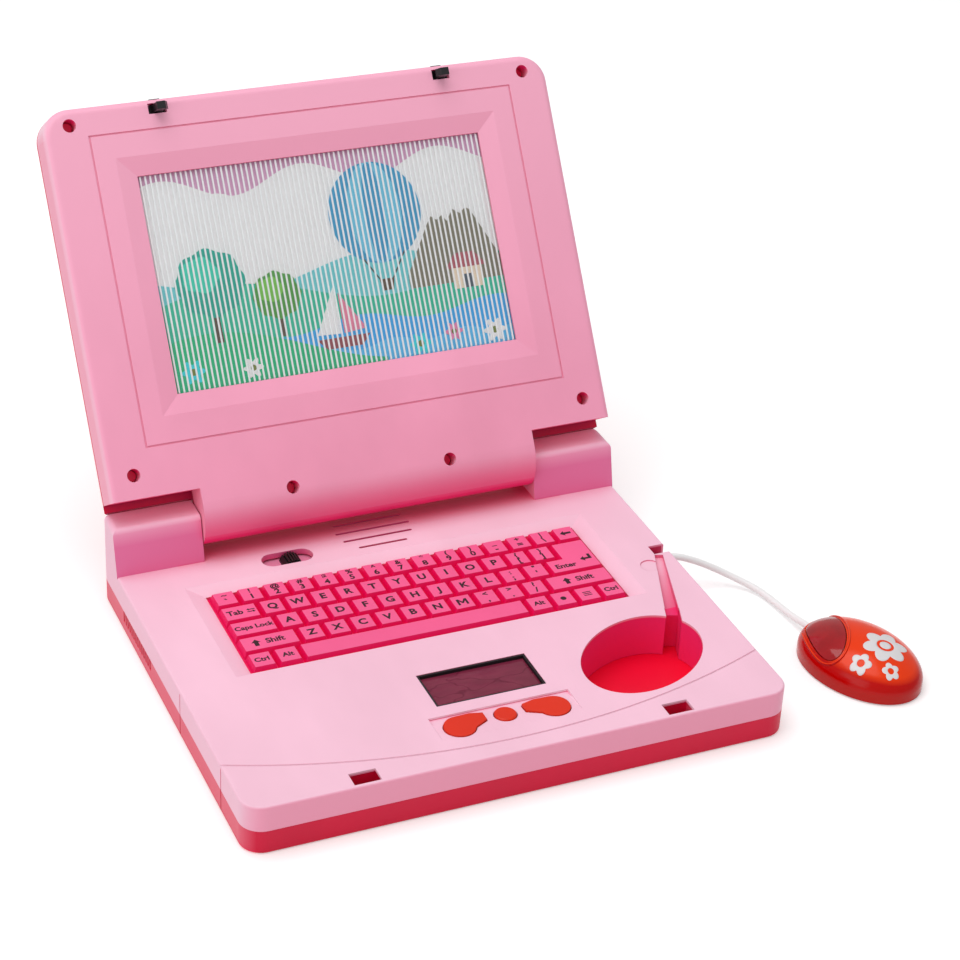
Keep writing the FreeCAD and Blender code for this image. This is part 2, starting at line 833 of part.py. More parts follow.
def hump_edges(edge):
    # the front and outer rim of each hump's top
    bounds = edge.BoundBox
    inner = (half - s.hump_width).value
    beside = bounds.XLength < 1e-6 and abs(abs(bounds.XMin) - inner) < 1e-6
    behind = bounds.YLength < 1e-6 and bounds.YMin > axis_y.value
    return level_at((axis_z + s.hump_top).value)(edge) and not beside and not behind


deck_block = plate("deck_block", half, front, rear, s.parting_height, deck_top, s.corner_round)
deck_outer = rounded("deck_outer", deck_block, s.deck_round, level_at(deck_top.value))
deck_inside = plate(
    "deck_inside", half - s.side_wall, front + s.side_wall, rear - s.side_wall,
    s.parting_height - 1, deck_under, s.corner_round - s.side_wall)
deck_shell = cut("deck_shell", deck_outer, [deck_inside])

hump_left = hump_profile("hump_left", s.hump_width)
put(hump_left, -half, 0, 0)
hump_right = hump_profile("hump_right", s.hump_width)
put(hump_right, half - s.hump_width, 0, 0)
hump_limit = plate("hump_limit", half, front, rear, s.parting_height, axis_z + s.hump_top * 2, s.corner_round)
hump_blocks = common("hump_blocks", fuse("hump_pair", [hump_left, hump_right]), hump_limit)
humps = rounded("humps", hump_blocks, s.hump_round, hump_edges)
hump_hollows = []
pin_bores = []
for sign, word in ((-1, "left"), (1, "right")):
    outer = sign * (half - s.hump_wall)
    inner = sign * (half - s.hump_width + s.hump_wall)
    low, high = (outer, inner) if sign < 0 else (inner, outer)
    hump_hollows.append(box(
        "hump_hollow_" + word, low, high, axis_y - s.hump_top_fore + s.hump_wall / 2,
        axis_y + s.hump_top_back - s.hump_wall / 2, s.parting_height, axis_z - s.pin_radius - s.hump_wall))
    outer = sign * (half - s.hump_width + s.pin_in_hump)
    inner = sign * (half - s.hump_width - 1)
    low, high = (outer, inner) if sign < 0 else (inner, outer)
    pin_bores.append(rod("pin_bore_" + word, low, high, axis_y, axis_z, s.pin_radius + s.pin_press))

# keyboard tray
tray = frustum(
    "tray",
    (-keys_x, keys_x, keys_front, keys_back, deck_top - s.tray_deep),
    (-keys_x - s.tray_side, keys_x + s.tray_side, keys_front - s.tray_front, keys_back + s.tray_back,
     deck_top))
tray_block = box(
    "tray_block", -keys_x - s.tray_side / 2, keys_x + s.tray_side / 2, keys_front - s.flange_lap,
    keys_back + s.tray_back / 2, tray_low, deck_under + 1)
key_hole = box("key_hole", -keys_x, keys_x, keys_front, keys_back, deck_under - 1, deck_top + 1)
window_hole = box(
    "window_hole", -s.window_x, s.window_x, window_front, window_back, deck_under - 1, deck_top + 1)

# sloping panel round the buttons
recess_front = front + s.recess_front_in
recess_back = recess_front + s.recess_depth
recess = frustum(
    "recess",
    (-s.recess_x, s.recess_x, recess_back - s.fit_gap, recess_back, deck_top - s.recess_sunk),
    (-s.recess_x, s.recess_x, recess_front, recess_back, deck_top))


def wing(name, sign, grow, z0, z1):
    # a comma: round end away from the middle, narrowing to a tip beside the round button
    x = sign * s.wing_x
    y = button_y - s.wing_back
    big = cylinder(name + "_big", x, y, z0, z1, s.wing_radius + grow)
    tip_y = button_y + s.wing_tip_half / 2
    inner = sign * (s.wing_tip_x - grow)
    points = [
        (x, y - s.wing_radius - grow),
        (sign * (s.wing_x - s.wing_radius), y - s.wing_radius / 3 - grow),
        (inner, tip_y - s.wing_tip_half - grow),
        (inner, tip_y + s.wing_tip_half + grow),
        (sign * (s.wing_x - s.wing_radius), tip_y + s.wing_tip_half * 1.6 + grow),
        (x, y + s.wing_radius + grow),
    ]
    tail = padded(name + "_tail", "XY_Plane", points, size(z1) - z0)
    put(tail, 0, 0, z0)
    return fuse(name, [big, tail])


button_holes = [
    cylinder("button_hole", 0, button_y, deck_under - 1, deck_top + 1, s.button_radius + s.button_gap),
    wing("wing_hole_left", -1, s.button_gap, deck_under - 1, deck_top + 1),
    wing("wing_hole_right", 1, s.button_gap, deck_under - 1, deck_top + 1),
]

switch_hole = capsule(
    "switch_hole", -s.switch_x, switch_y, deck_under - 1, deck_top + 1, s.switch_slot, s.switch_slot_wide)
speaker_slots = []
for i in (-2, -1, 0, 1, 2):
    offset = s.slot_pitch * i
    reach = math.sqrt(s.slot_circle.value ** 2 - offset.value ** 2)
    share = reach / s.slot_circle.value
    speaker_slots.append(capsule(
        "speaker_slot_%d" % (i + 2), size(0), speaker_y + offset, deck_under - 1, deck_top + 1,
        s.slot_circle * 2 * share, s.slot_wide))
latch_holes = []
for sign, word in ((-1, "left"), (1, "right")):
    ends = (sign * (s.latch_x - s.deck_slot_inner), sign * (s.latch_x + s.deck_slot_outer))
    low, high = (ends[1], ends[0]) if sign < 0 else ends
    latch_holes.append(box(
        "latch_hole_" + word, low, high, deck_slot_front, deck_slot_front + s.deck_slot_wide,
        deck_under - 1, deck_top + 1))

# well for the mouse, with its cord channel and the notch in the rim
well_low = s.floor_wall + s.fit_gap
well_tube = oval("well_tube", s.well_x, well_y, well_low, deck_under + 1, well_long + s.well_wall,
                 well_half + s.well_wall, s.well_turn)
well_hole = oval("well_hole", s.well_x, well_y, well_low - 1, deck_top + 1, well_long, well_half, s.well_turn)


def trough(name, grow, wide, y0, y1, low0, low1, above):
    # a block along the channel's line, as wide as asked at its start, whose floor falls from low0 to low1
    thing = doc.addObject("Part::Wedge", name)
    bind(thing, "Xmin", -wide / 2 - grow)
    bind(thing, "Xmax", wide / 2 + grow)
    bind(thing, "X2min", -s.channel_wide / 2 - grow)
    bind(thing, "X2max", s.channel_wide / 2 + grow)
    bind(thing, "Ymin", y0)
    bind(thing, "Ymax", y1)
    bind(thing, "Zmin", -low0)
    bind(thing, "Zmax", above)
    bind(thing, "Z2min", -low1)
    bind(thing, "Z2max", above)
    turn(thing, (0, 0, 1), s.channel_turn)
    put(thing, channel_x, channel_y, deck_top)
    return thing


channel_block = trough("channel_block", s.well_wall, s.channel_mouth, 0, s.channel_long,
                       s.channel_start + s.well_wall, s.channel_end + s.well_wall, -s.deck_thick / 2)
channel_cut = trough("channel_cut", 0, s.channel_mouth, 0, s.channel_long, s.channel_start, s.channel_end, 1)
dimple = cylinder("dimple", half - s.dimple_in, rear - s.dimple_rear_in, deck_top - s.dimple_deep, deck_top + 1,
                  s.dimple_radius)
slot_deep = deck_top - well_low + 1
slot_cut = trough("slot_cut", 0, s.channel_wide, s.channel_long - s.channel_wide,
                  s.channel_long + s.channel_wide, slot_deep, slot_deep, 1)
slot_block = trough("slot_block", s.well_wall, s.channel_wide, s.channel_long - s.channel_wide - s.well_wall,
                    s.channel_long, deck_top - well_low, deck_top - well_low, -s.deck_thick / 2)
notch_block = box(
    "notch_block", notch_x - s.side_wall, half - s.side_wall / 2, notch_y - s.notch_wide / 2 - s.side_wall,
    notch_y + s.notch_wide / 2 + s.side_wall, notch_low - s.side_wall, deck_under + 1)
notch_cut = box("notch_cut", notch_x, half + 1, notch_y - s.notch_wide / 2, notch_y + s.notch_wide / 2,
                notch_low, deck_top + 1)
cord_y = notch_y - s.fit_gap * 6
grommet_hole = rod("grommet_hole", notch_x - s.side_wall - 1, notch_x + 1, cord_y, cord_z,
                   s.cord_radius + s.side_wall / 4 + s.fit_gap)

# thin lines on the deck and down its sides
arc_y = front + s.arc_line_in + s.arc_line_radius
arc_outer = cylinder("arc_outer", 0, arc_y, deck_top - s.line_deep, deck_top + 1, s.arc_line_radius)
arc_inner = cylinder("arc_inner", 0, arc_y, deck_top - s.line_deep - 1, deck_top + 2,
                     s.arc_line_radius - s.line_width)
arc_ring = cut("arc_ring", arc_outer, [arc_inner])
arc_limit = box("arc_limit", -half - 1, half + 1, front, front + s.front_line_in + 1,
                deck_top - s.line_deep - 1, deck_top + 2)
arc_line = common("arc_line", arc_ring, arc_limit)

deck_bosses = []
deck_pilots = []
for i, (x, y) in enumerate(case_spots):
    deck_bosses.append(cylinder(
        "deck_boss_%d" % i, x, y, s.case_join, deck_under + 1, s.boss_radius + s.bay_wall))
    deck_pilots.append(cylinder("deck_pilot_%d" % i, x, y, s.case_join - 1, deck_under, pilot))
for word, spots, low in (
        ("key", key_spots, key_board_top),
        ("control", control_spots, control_top),
        ("switch", switch_spots, switch_board_top)):
    for i, (x, y) in enumerate(spots):
        deck_bosses.append(cylinder("%s_boss_%d" % (word, i), x, y, low, deck_under + 1, s.boss_radius))
        deck_pilots.append(cylinder("%s_pilot_%d" % (word, i), x, y, low - 1, deck_under, small_pilot))
ring_outer = cylinder("ring_outer", 0, speaker_y, deck_under - s.deck_thick, deck_under + 1,
                      s.speaker_radius + s.fit_gap + s.ring_wall)
ring_inner = cylinder("ring_inner", 0, speaker_y, deck_under - s.deck_thick - 1, deck_under,
                      s.speaker_radius + s.fit_gap)
ring = cut("speaker_ring", ring_outer, [ring_inner])
deck_forms = [deck_shell, humps, tray_block, well_tube, channel_block, slot_block, notch_block, ring]
deck_solid = fuse("deck_solid", deck_forms + deck_bosses)
upper_deck = cut(
    "upper_deck_cut", deck_solid,
    hump_hollows + pin_bores + [tray, key_hole, window_hole, recess, switch_hole, well_hole, channel_cut,
                                slot_cut, notch_cut, grommet_hole, arc_line, dimple]
    + button_holes + speaker_slots + latch_holes + slot_recesses + deck_pilots
    + side_lines("deck", s.parting_height - 1, deck_top - s.deck_round))
node(upper_deck, "upper_deck")

# hinge pins
for sign, word in ((-1, "left"), (1, "right")):
    far = sign * (half - s.hump_width + s.pin_in_hump)
    near = sign * (barrel_end - s.pin_in_barrel)
    low, high = (far, near) if sign < 0 else (near, far)
    pin = turned("pin_" + word, [(0, 0), (s.pin_radius, 0), (s.pin_radius, high - low), (0, high - low)])
    turn(pin, (0, 1, 0), 90)
    put(pin, low, axis_y, axis_z)
    node(pin, "hinge_pin_" + word)

# keypad, one moulding of sixty tapered keys
block_x = keys_x - s.key_edge
block_back = keys_back - s.key_edge
unit = block_x * 2 / 15
row_pitch = (block_back - keys_front - s.key_edge) / 5
web_top = deck_top - s.web_under
key_top = deck_top + s.key_over
ROWS = [
    [1] * 15,
    [1.5] + [1] * 12,
    [1.8] + [1] * 11,
    [2.3] + [1] * 10 + [2.7],
    [1, 1, 9, 1, 1, 1, 1],
]
ENTER_HIGH = 1.5
ENTER_LOW = 2.2


def key(name, x0, x1, y0, y1):
    gap = s.key_gap / 2
    taper = s.key_taper
    return frustum(
        name,
        (x0 + gap, x1 - gap, y0 + gap, y1 - gap, web_top - s.fit_gap),
        (x0 + gap + taper, x1 - gap - taper, y0 + gap + taper, y1 - gap - taper, key_top))


keys = []
for r, widths in enumerate(ROWS):
    y1 = block_back - row_pitch * r
    y0 = y1 - row_pitch
    along = 0.0
    for c, width in enumerate(widths):
        x0 = unit * along - block_x
        x1 = unit * (along + width) - block_x
        keys.append(key("key_%d_%d" % (r, c), x0, x1, y0, y1))
        along += width
enter_y1 = block_back - row_pitch
enter_y0 = block_back - row_pitch * 3
keys.append(key("key_enter_tall", block_x - unit * ENTER_HIGH, block_x, enter_y0, enter_y1))
keys.append(key("key_enter_wide", block_x - unit * ENTER_LOW, block_x, enter_y0, enter_y0 + row_pitch))
flange = box("keypad_flange", -keys_x - s.flange_lap, keys_x + s.flange_lap, keys_front - s.flange_lap,
             keys_back + s.flange_lap, keypad_low, keypad_top)
web = box("keypad_web", -keys_x + s.button_gap, keys_x - s.button_gap, keys_front + s.button_gap,
          keys_back - s.button_gap, keypad_low, web_top)
node(fuse("keypad_fuse", [flange, web] + keys), "keypad")


def board(name, x0, x1, y0, y1, top, spots):
    slab = box(name + "_slab", x0, x1, y0, y1, top - s.board_thick, top)
    holes = [
        cylinder("%s_hole_%d" % (name, i), x, y, top - s.board_thick - 1, top + 1, s.small_screw + s.fit_gap)
        for i, (x, y) in enumerate(spots)]
    return cut(name + "_cut", slab, holes)


node(board("key_board", -key_board_x, key_board_x, keys_front - s.fit_gap, keys_back + s.fit_gap,
           key_board_top, key_spots), "key_board")
node(board("control_board", -s.control_x, s.control_x, control_front, control_back, control_top,
           control_spots), "control_board")
node(board("switch_board", -s.switch_x - s.switch_board_x, -s.switch_x + s.switch_board_x,
           switch_y - s.switch_screw_y - s.boss_radius, switch_y + s.switch_screw_y + s.boss_radius,
           switch_board_top, switch_spots), "switch_board")
board_screws = []
for word, spots, top in (
        ("key", key_spots, key_board_top),
        ("control", control_spots, control_top),
        ("switch", switch_spots, switch_board_top)):
    for i, (x, y) in enumerate(spots):
        board_screws.append(screw(
            "%s_screw_%d" % (word, i), x, y, top - s.board_thick, s.board_thick + s.boss_radius / 2, False,
            s.small_screw, s.small_head, s.small_head_high))
node(group("board_screw_set", board_screws), "board_screws")

# display
lining_x = s.window_x - s.fit_gap
lining_y0 = window_front + s.fit_gap
lining_y1 = window_back - s.fit_gap
lining = box("lining", -lining_x, lining_x, lining_y0, lining_y1, window_low, deck_top - s.fit_gap * 2)
lining_lap = box("lining_lap", -lining_x - s.flange_lap, lining_x + s.flange_lap, lining_y0 - s.flange_lap,
                 lining_y1 + s.flange_lap, window_low, deck_under)
lining_hole = box("lining_hole", -lining_x + s.frame_wall, lining_x - s.frame_wall, lining_y0 + s.frame_wall,
                  lining_y1 - s.frame_wall, window_low - 1, deck_top + 1)
node(cut("display_frame_cut", fuse("lining_solid", [lining, lining_lap]), [lining_hole]), "display_frame")
pane_x = lining_x - s.frame_wall - s.fit_gap
pane_y0 = lining_y0 + s.frame_wall + s.fit_gap
pane_y1 = lining_y1 - s.frame_wall - s.fit_gap
node(box("pane", -pane_x, pane_x, pane_y0, pane_y1, window_low, window_top), "display_window")
node(box("panel", -lining_x, lining_x, lining_y0, lining_y1, control_top, window_low), "display_panel")

# buttons and the pad below them
pillar_top = button_lip_low - s.button_travel - s.fit_gap
pad_y0 = button_y - s.wing_back - s.wing_radius
pad_y1 = button_y + s.wing_radius
pad_sheet = box("pad_sheet", -s.wing_x - s.wing_radius / 2, s.wing_x + s.wing_radius / 2, pad_y0, pad_y1,
                control_top, control_top + s.pad_thick)
pillars = [
    cylinder("pad_pillar_%d" % i, x, button_y, control_top, pillar_top, s.boss_radius)
    for i, x in enumerate((-s.wing_x, size(0), s.wing_x))]
node(fuse("button_pad_fuse", [pad_sheet] + pillars), "button_pad")
cap = cylinder("centre_cap", 0, button_y, button_lip_low, button_top, s.button_radius)
cap_round = rounded("centre_cap_round", cap, s.frame_wall, level_at(button_top.value))
cap_lip = cylinder("centre_lip", 0, button_y, button_lip_low, button_lip_top, s.button_radius + s.button_lip)
node(fuse("centre_button_fuse", [cap_round, cap_lip]), "centre_button")
for sign, word in ((-1, "left"), (1, "right")):
    top = wing("wing_%s" % word, sign, 0, button_lip_low, button_top)
    lip_x = sign * s.wing_x
    lip = cylinder("wing_lip_%s" % word, lip_x, button_y - s.wing_back, button_lip_low, button_lip_top,
                   s.wing_radius + s.button_lip)
    node(fuse("%s_button_fuse" % word, [top, lip]), word + "_button")

# power knob, slide switch and speaker
knob_top = deck_top + s.knob_over
knob_base = box("knob_base", knob_x - s.knob_plate / 2, knob_x + s.knob_plate / 2,
                switch_y - s.knob_plate_deep / 2,
                switch_y + s.knob_plate_deep / 2, keypad_low, keypad_top)
knob_drum = doc.addObject("Part::Cylinder", "knob_drum")
bind(knob_drum, "Radius", s.knob_wide / 2)
bind(knob_drum, "Height", s.knob_deep)
turn(knob_drum, (1, 0, 0), 90)
put(knob_drum, knob_x, switch_y + s.knob_deep / 2, knob_top - s.knob_wide / 2)
knob_limit = box("knob_limit", knob_x - s.knob_wide, knob_x + s.knob_wide, switch_y - s.knob_deep,
                 switch_y + s.knob_deep, keypad_low + s.fit_gap, knob_top + 1)
knob_dome = common("knob_dome", knob_drum, knob_limit)
knob_stem = cylinder(
    "knob_stem", knob_x, switch_y, switch_stem_low, keypad_low + s.fit_gap, s.boss_radius / 2)
knob_grooves = []
for i in (-2, -1, 0, 1, 2):
    x = knob_x + s.knob_wide / 7 * i
    knob_grooves.append(box("knob_groove_%d" % (i + 2), x - s.knob_groove / 2, x + s.knob_groove / 2,
                            switch_y - s.knob_deep, switch_y + s.knob_deep,
                            knob_top - s.knob_groove * 2 - abs(i) * 0.3, knob_top + 1))
knob_ridged = cut("knob_ridged", knob_dome, knob_grooves)
node(fuse("power_knob_fuse", [knob_base, knob_ridged, knob_stem]), "power_knob")
node(box("slide_switch_block", -s.switch_x - s.switch_body_long / 2, -s.switch_x + s.switch_body_long / 2,
         switch_y - s.switch_body_wide / 2, switch_y + s.switch_body_wide / 2, switch_board_top,
         switch_body_top), "slide_switch")

rim_low = deck_under - s.board_thick
basket_low = deck_under - s.speaker_deep
basket = turned("speaker_basket", [
    (s.magnet_radius / 2, basket_low),
    (s.magnet_radius, basket_low),
    (s.speaker_radius, rim_low),
    (s.speaker_radius, deck_under),
    (s.speaker_radius - s.ring_wall, deck_under),
    (s.speaker_radius - s.ring_wall, rim_low),
    (s.magnet_radius - s.ring_wall / 2, basket_low + s.ring_wall),
    (s.magnet_radius / 2, basket_low + s.ring_wall),
])
put(basket, 0, speaker_y, 0)
node(basket, "speaker_frame")
paper = turned("speaker_paper", [
    (0, basket_low + s.ring_wall * 2),
    (s.magnet_radius / 2, basket_low + s.ring_wall * 2),
    (s.speaker_radius - s.ring_wall, rim_low + s.pad_thick),
    (s.speaker_radius - s.ring_wall, rim_low + s.pad_thick * 2),
    (s.magnet_radius / 2, basket_low + s.ring_wall * 2 + s.pad_thick),
    (0, basket_low + s.ring_wall * 3),
])
put(paper, 0, speaker_y, 0)
node(paper, "speaker_cone")
magnet = cylinder("magnet", 0, speaker_y, basket_low - s.magnet_high, basket_low, s.magnet_radius)
node(magnet, "speaker_magnet")

# cord and its grommet
lip_face = notch_x + s.grommet_lip
grommet = turned("grommet_body", [
    (0, -s.side_wall),
    (s.cord_radius + s.side_wall / 4, -s.side_wall),
    (s.cord_radius + s.side_wall / 4, 0),
    (s.grommet_radius, 0),
    (s.grommet_radius, s.grommet_lip),
    (0, s.grommet_lip),
])
turn(grommet, (0, 1, 0), 90)
put(grommet, notch_x, cord_y, cord_z)
node(grommet, "cord_grommet")

heading = math.radians(s.mouse_turn.value)
pivot_reach = (s.mouse_long - s.nose_in).value
cord_end = FreeCAD.Vector(
    s.mouse_x.value + pivot_reach * math.cos(heading),
    mouse_y.value + pivot_reach * math.sin(heading),
    s.cord_at_mouse.value)
ROUTE = [
    FreeCAD.Vector(lip_face.value, cord_y.value, cord_z.value),
    FreeCAD.Vector(lip_face.value + s.cord_lead.value, cord_y.value, cord_z.value),
    FreeCAD.Vector(128.7, 15.2, 12.0),
    FreeCAD.Vector(136.8, 12.6, 8.0),
    FreeCAD.Vector(143.6, 8.4, 4.8),
    FreeCAD.Vector(151.2, -0.2, 2.2),
    FreeCAD.Vector(153.8, -12.0, 2.0),
    FreeCAD.Vector(154.2, -26.0, 3.4),
    cord_end,
]


def cord_wire(points):
    # straight runs joined by tangent arcs
    edges = []
    radii = []
    start = points[0]
    for before, corner, after in zip(points, points[1:], points[2:]):
        back = before.sub(corner)
        ahead = after.sub(corner)
        shorter = min(back.Length, ahead.Length)
        back.normalize()
        ahead.normalize()
        half_turn = (math.pi - back.getAngle(ahead)) / 2
        tangent = 0.45 * shorter
        radius = tangent / math.tan(half_turn)
        radii.append(radius)
        inward = back.add(ahead).normalize()
        middle = corner.add(inward * (radius / math.cos(half_turn) - radius))
        first = corner.add(back * tangent)
        last = corner.add(ahead * tangent)
        edges.append(Part.LineSegment(start, first).toShape())
        edges.append(Part.Arc(first, middle, last).toShape())
        start = last
    edges.append(Part.LineSegment(start, points[-1]).toShape())
    return Part.Wire(edges), radii


route_wire, radii = cord_wire(ROUTE)
start_dir = ROUTE[1].sub(ROUTE[0]).normalize()
ring_edge = Part.makeCircle(s.cord_radius.value, ROUTE[0], start_dir)
cord = doc.addObject("Part::Feature", "cord")
cord.Shape = route_wire.makePipeShell([Part.Wire([ring_edge])], True, False)
node(cord, "mouse_cord")
expected = math.pi * s.cord_radius.value ** 2 * route_wire.Length
print("cord radii", [round(r, 1) for r in radii], "length", round(route_wire.Length, 1))
print("cord volume", round(cord.Shape.Volume, 1), "expected", round(expected, 1))


# lid bezel
def face_edges(shape_face):
    # edges of the front face, but not its foot
    def wanted(edge):
        bounds = edge.BoundBox
        flat = abs(bounds.ZMin - shape_face) + abs(bounds.ZMax - shape_face) < 1e-6
        return flat and bounds.YMax > s.lid_foot.value + 1
    return wanted


def far_upright(edge):
    return upright(edge) and edge.BoundBox.YMin > s.lid_foot.value + 1


def far_corner(edge):
    return upright(edge) and edge.BoundBox.YMin > lid_reach.value / 2


def lid_hollow(name, z0, z1):
    # the room inside the lid's walls, whose far corners follow the outer ones
    block = box(name + "_block", -lid_half + s.lid_wall, lid_half - s.lid_wall, s.lid_foot + s.lid_wall,
                lid_reach - s.lid_wall, z0, z1)
    return rounded(name, block, s.lid_corner - s.lid_wall, far_corner)


def lid_plate(name, foot, z0, z1, shape_face, radius):
    block = box(name + "_block", -lid_half, lid_half, foot, lid_reach, z0, z1)
    corners = rounded(name + "_corners", block, s.lid_corner, far_upright)
    return rounded(name, corners, radius, face_edges(shape_face))


def barrel_profile(name):
    # round barrel, a wider arc up to the face and a flat parting through the axis
    body = doc.addObject("PartDesign::Body", name)
    sketch = sketch_in(body, name + "_outline", "YZ_Plane")
    r = s.barrel_radius.value
    high = face.value
    end = s.lid_face_end.value
    sweep = (end ** 2 + high ** 2 - r ** 2) / (2 * (high - r))
    c = FreeCAD.Vector(0, 0, 0)
    hub = FreeCAD.Vector(end, high - sweep, 0)
    touch = FreeCAD.Vector(-hub.x * r / hub.Length, -hub.y * r / hub.Length, 0)
    corner = FreeCAD.Vector(end, high, 0)
    join = s.lid_foot.value + 1
    top = FreeCAD.Vector(join, high, 0)
    base = FreeCAD.Vector(join, 0, 0)
    low = FreeCAD.Vector(-r, 0, 0)
    up = FreeCAD.Vector(0, 0, 1)
    heading = math.atan2(touch.y, touch.x)
    sketch.addGeometry(Part.ArcOfCircle(Part.Circle(c, up, r), heading, math.pi), False)
    sketch.addGeometry(Part.LineSegment(low, base), False)
    sketch.addGeometry(Part.LineSegment(base, top), False)
    sketch.addGeometry(Part.LineSegment(top, corner), False)
    sketch.addGeometry(Part.ArcOfCircle(Part.Circle(hub, up, sweep), math.pi / 2, heading), False)
    sketch.addConstraint(Sketcher.Constraint("Coincident", 0, 3, -1, 1))
    sketch.addConstraint(Sketcher.Constraint("Coincident", 0, 2, 1, 1))
    sketch.addConstraint(Sketcher.Constraint("Coincident", 1, 2, 2, 1))
    sketch.addConstraint(Sketcher.Constraint("Coincident", 2, 2, 3, 1))
    sketch.addConstraint(Sketcher.Constraint("Tangent", 3, 2, 4, 1))
    sketch.addConstraint(Sketcher.Constraint("Tangent", 4, 2, 0, 1))
    sketch.addConstraint(Sketcher.Constraint("PointOnObject", 1, 1, -1))
    fix(sketch, 2, 1, s.lid_foot + 1, 0, "foot")
    fix(sketch, 3, 1, s.lid_foot + 1, face, "top")
    fix(sketch, 3, 2, s.lid_face_end, face, "crease")
    index = sketch.addConstraint(Sketcher.Constraint("Radius", 0, r))
    sketch.renameConstraint(index, "round")
    sketch.setExpression("Constraints.round", s.barrel_radius.text)
    pad = body.newObject("PartDesign::Pad", name + "_pad")
    pad.Profile = sketch
    pad.Midplane = True
    bind(pad, "Length", barrel_end * 2)
    body.Tip = pad
    return body


hollow_x = barrel_end - s.pin_in_barrel - s.lid_wall
barrel_hollow_radius = s.barrel_radius - s.barrel_wall


def lid_bores(name):
    # bores for both pins and the hollow between them
    bores = [rod(name + "_hollow", -hollow_x, hollow_x, 0, 0, barrel_hollow_radius)]
    for sign, word in ((-1, "left"), (1, "right")):
        far = sign * (barrel_end + 1)
        near = sign * (barrel_end - s.pin_in_barrel - s.slide_gap)
        low, high = (far, near) if sign < 0 else (near, far)
        bores.append(rod("%s_bore_%s" % (name, word), low, high, 0, 0, s.pin_radius + s.pin_running))
    return bores


bezel_plate = lid_plate("bezel_plate", s.lid_foot, 0, face, face.value, s.lid_face_round)
bezel_inside = lid_hollow("bezel_inside", -1, face_under)
bezel_shell = cut("bezel_shell", bezel_plate, [bezel_inside])
bezel_barrel = cut("bezel_barrel", barrel_profile("bezel_barrel_block"), lid_bores("bezel"))
sink_radius = s.lid_screw_sink
lid_boss_radius = sink_radius + s.ring_wall
bezel_bosses = []
bezel_holes = []
for i, (x, y) in enumerate(lid_spots + barrel_spots):
    low_boss = i >= len(lid_spots)
    boss_top = face_under - s.slide_gap if low_boss else face_under + 1
    bezel_bosses.append(cylinder("bezel_boss_%d" % i, x, y, 0, boss_top, lid_boss_radius))
    bezel_holes.append(cylinder("bezel_sink_%d" % i, x, y, s.lid_screw_seat, face + 1, sink_radius))
    bezel_holes.append(cylinder("bezel_hole_%d" % i, x, y, -1, face, s.screw_radius + s.head_gap))
for i, (x, y) in enumerate(backing_spots):
    bezel_bosses.append(cylinder("backing_boss_%d" % i, x, y, card_low, face_under + 1, s.boss_radius))
    bezel_holes.append(cylinder(
        "backing_pilot_%d" % i, x, y, card_low - 1, face_under + s.pad_thick, small_pilot))
screen_bevel = frustum(
    "screen_bevel",
    (-screen_x, screen_x, screen_low, screen_high, face - s.bevel_deep),
    (-screen_x - s.bevel_wide, screen_x + s.bevel_wide, screen_low - s.bevel_wide,
     screen_high + s.bevel_wide, face))
screen_hole = box("screen_hole", -screen_x, screen_x, screen_low, screen_high, face_under - 1, face + 1)
line_outer = box("line_outer", -frame_line_x, frame_line_x, s.frame_line_low, frame_line_high,
                 face - s.line_deep, face + 1)
line_inner = box("line_inner", -frame_line_x + s.line_width, frame_line_x - s.line_width,
                 s.frame_line_low + s.line_width, frame_line_high - s.line_width,
                 face - s.line_deep - 1, face + 2)
frame_line = cut("frame_line", line_outer, [line_inner])
keeper_spots = []
stem_slots = []
tab_slots = []
for sign, word in ((-1, "left"), (1, "right")):
    x = sign * s.latch_x
    inner = sign * (s.latch_x - s.stem_wide / 2 - s.latch_in - s.slide_gap)
    outer = sign * (s.latch_x + s.stem_wide / 2 + s.latch_out + s.slide_gap)
    low, high = (outer, inner) if sign < 0 else (inner, outer)
    stem_slots.append(box("stem_slot_" + word, low, high, latch_up - s.stem_thick / 2 - s.slide_gap * 2,
                          latch_up + s.stem_thick / 2 + s.slide_gap * 2, face_under - 1, face + 1))
    inner = sign * (s.latch_x - s.tab_wide / 2 - s.latch_in - s.slide_gap)
    outer = sign * (s.latch_x + s.tab_wide / 2 + s.latch_out + s.slide_gap)
    low, high = (outer, inner) if sign < 0 else (inner, outer)
    tab_slots.append(box("tab_slot_" + word, low, high, lid_reach - s.lid_wall - 1, lid_reach + 1,
                         slider_low - s.slide_gap, slider_top + s.slide_gap))
    for i, offset in enumerate((-s.keeper_screw_x, s.keeper_screw_x)):
        keeper_spots.append((x + offset, keeper_screw_up))
for i, (x, y) in enumerate(keeper_spots):
    bezel_bosses.append(cylinder("keeper_boss_%d" % i, x, y, keeper_top, face_under + 1, s.boss_radius))
    bezel_holes.append(cylinder(
        "keeper_pilot_%d" % i, x, y, keeper_top - 1, face_under + s.pad_thick, small_pilot))
bezel_solid = fuse("bezel_solid", [bezel_shell, bezel_barrel] + bezel_bosses)
lid_bezel = cut("lid_bezel_cut", bezel_solid,
                [screen_bevel, screen_hole, frame_line] + bezel_holes + stem_slots + tab_slots)
lid_node(lid_bezel, "lid_bezel")

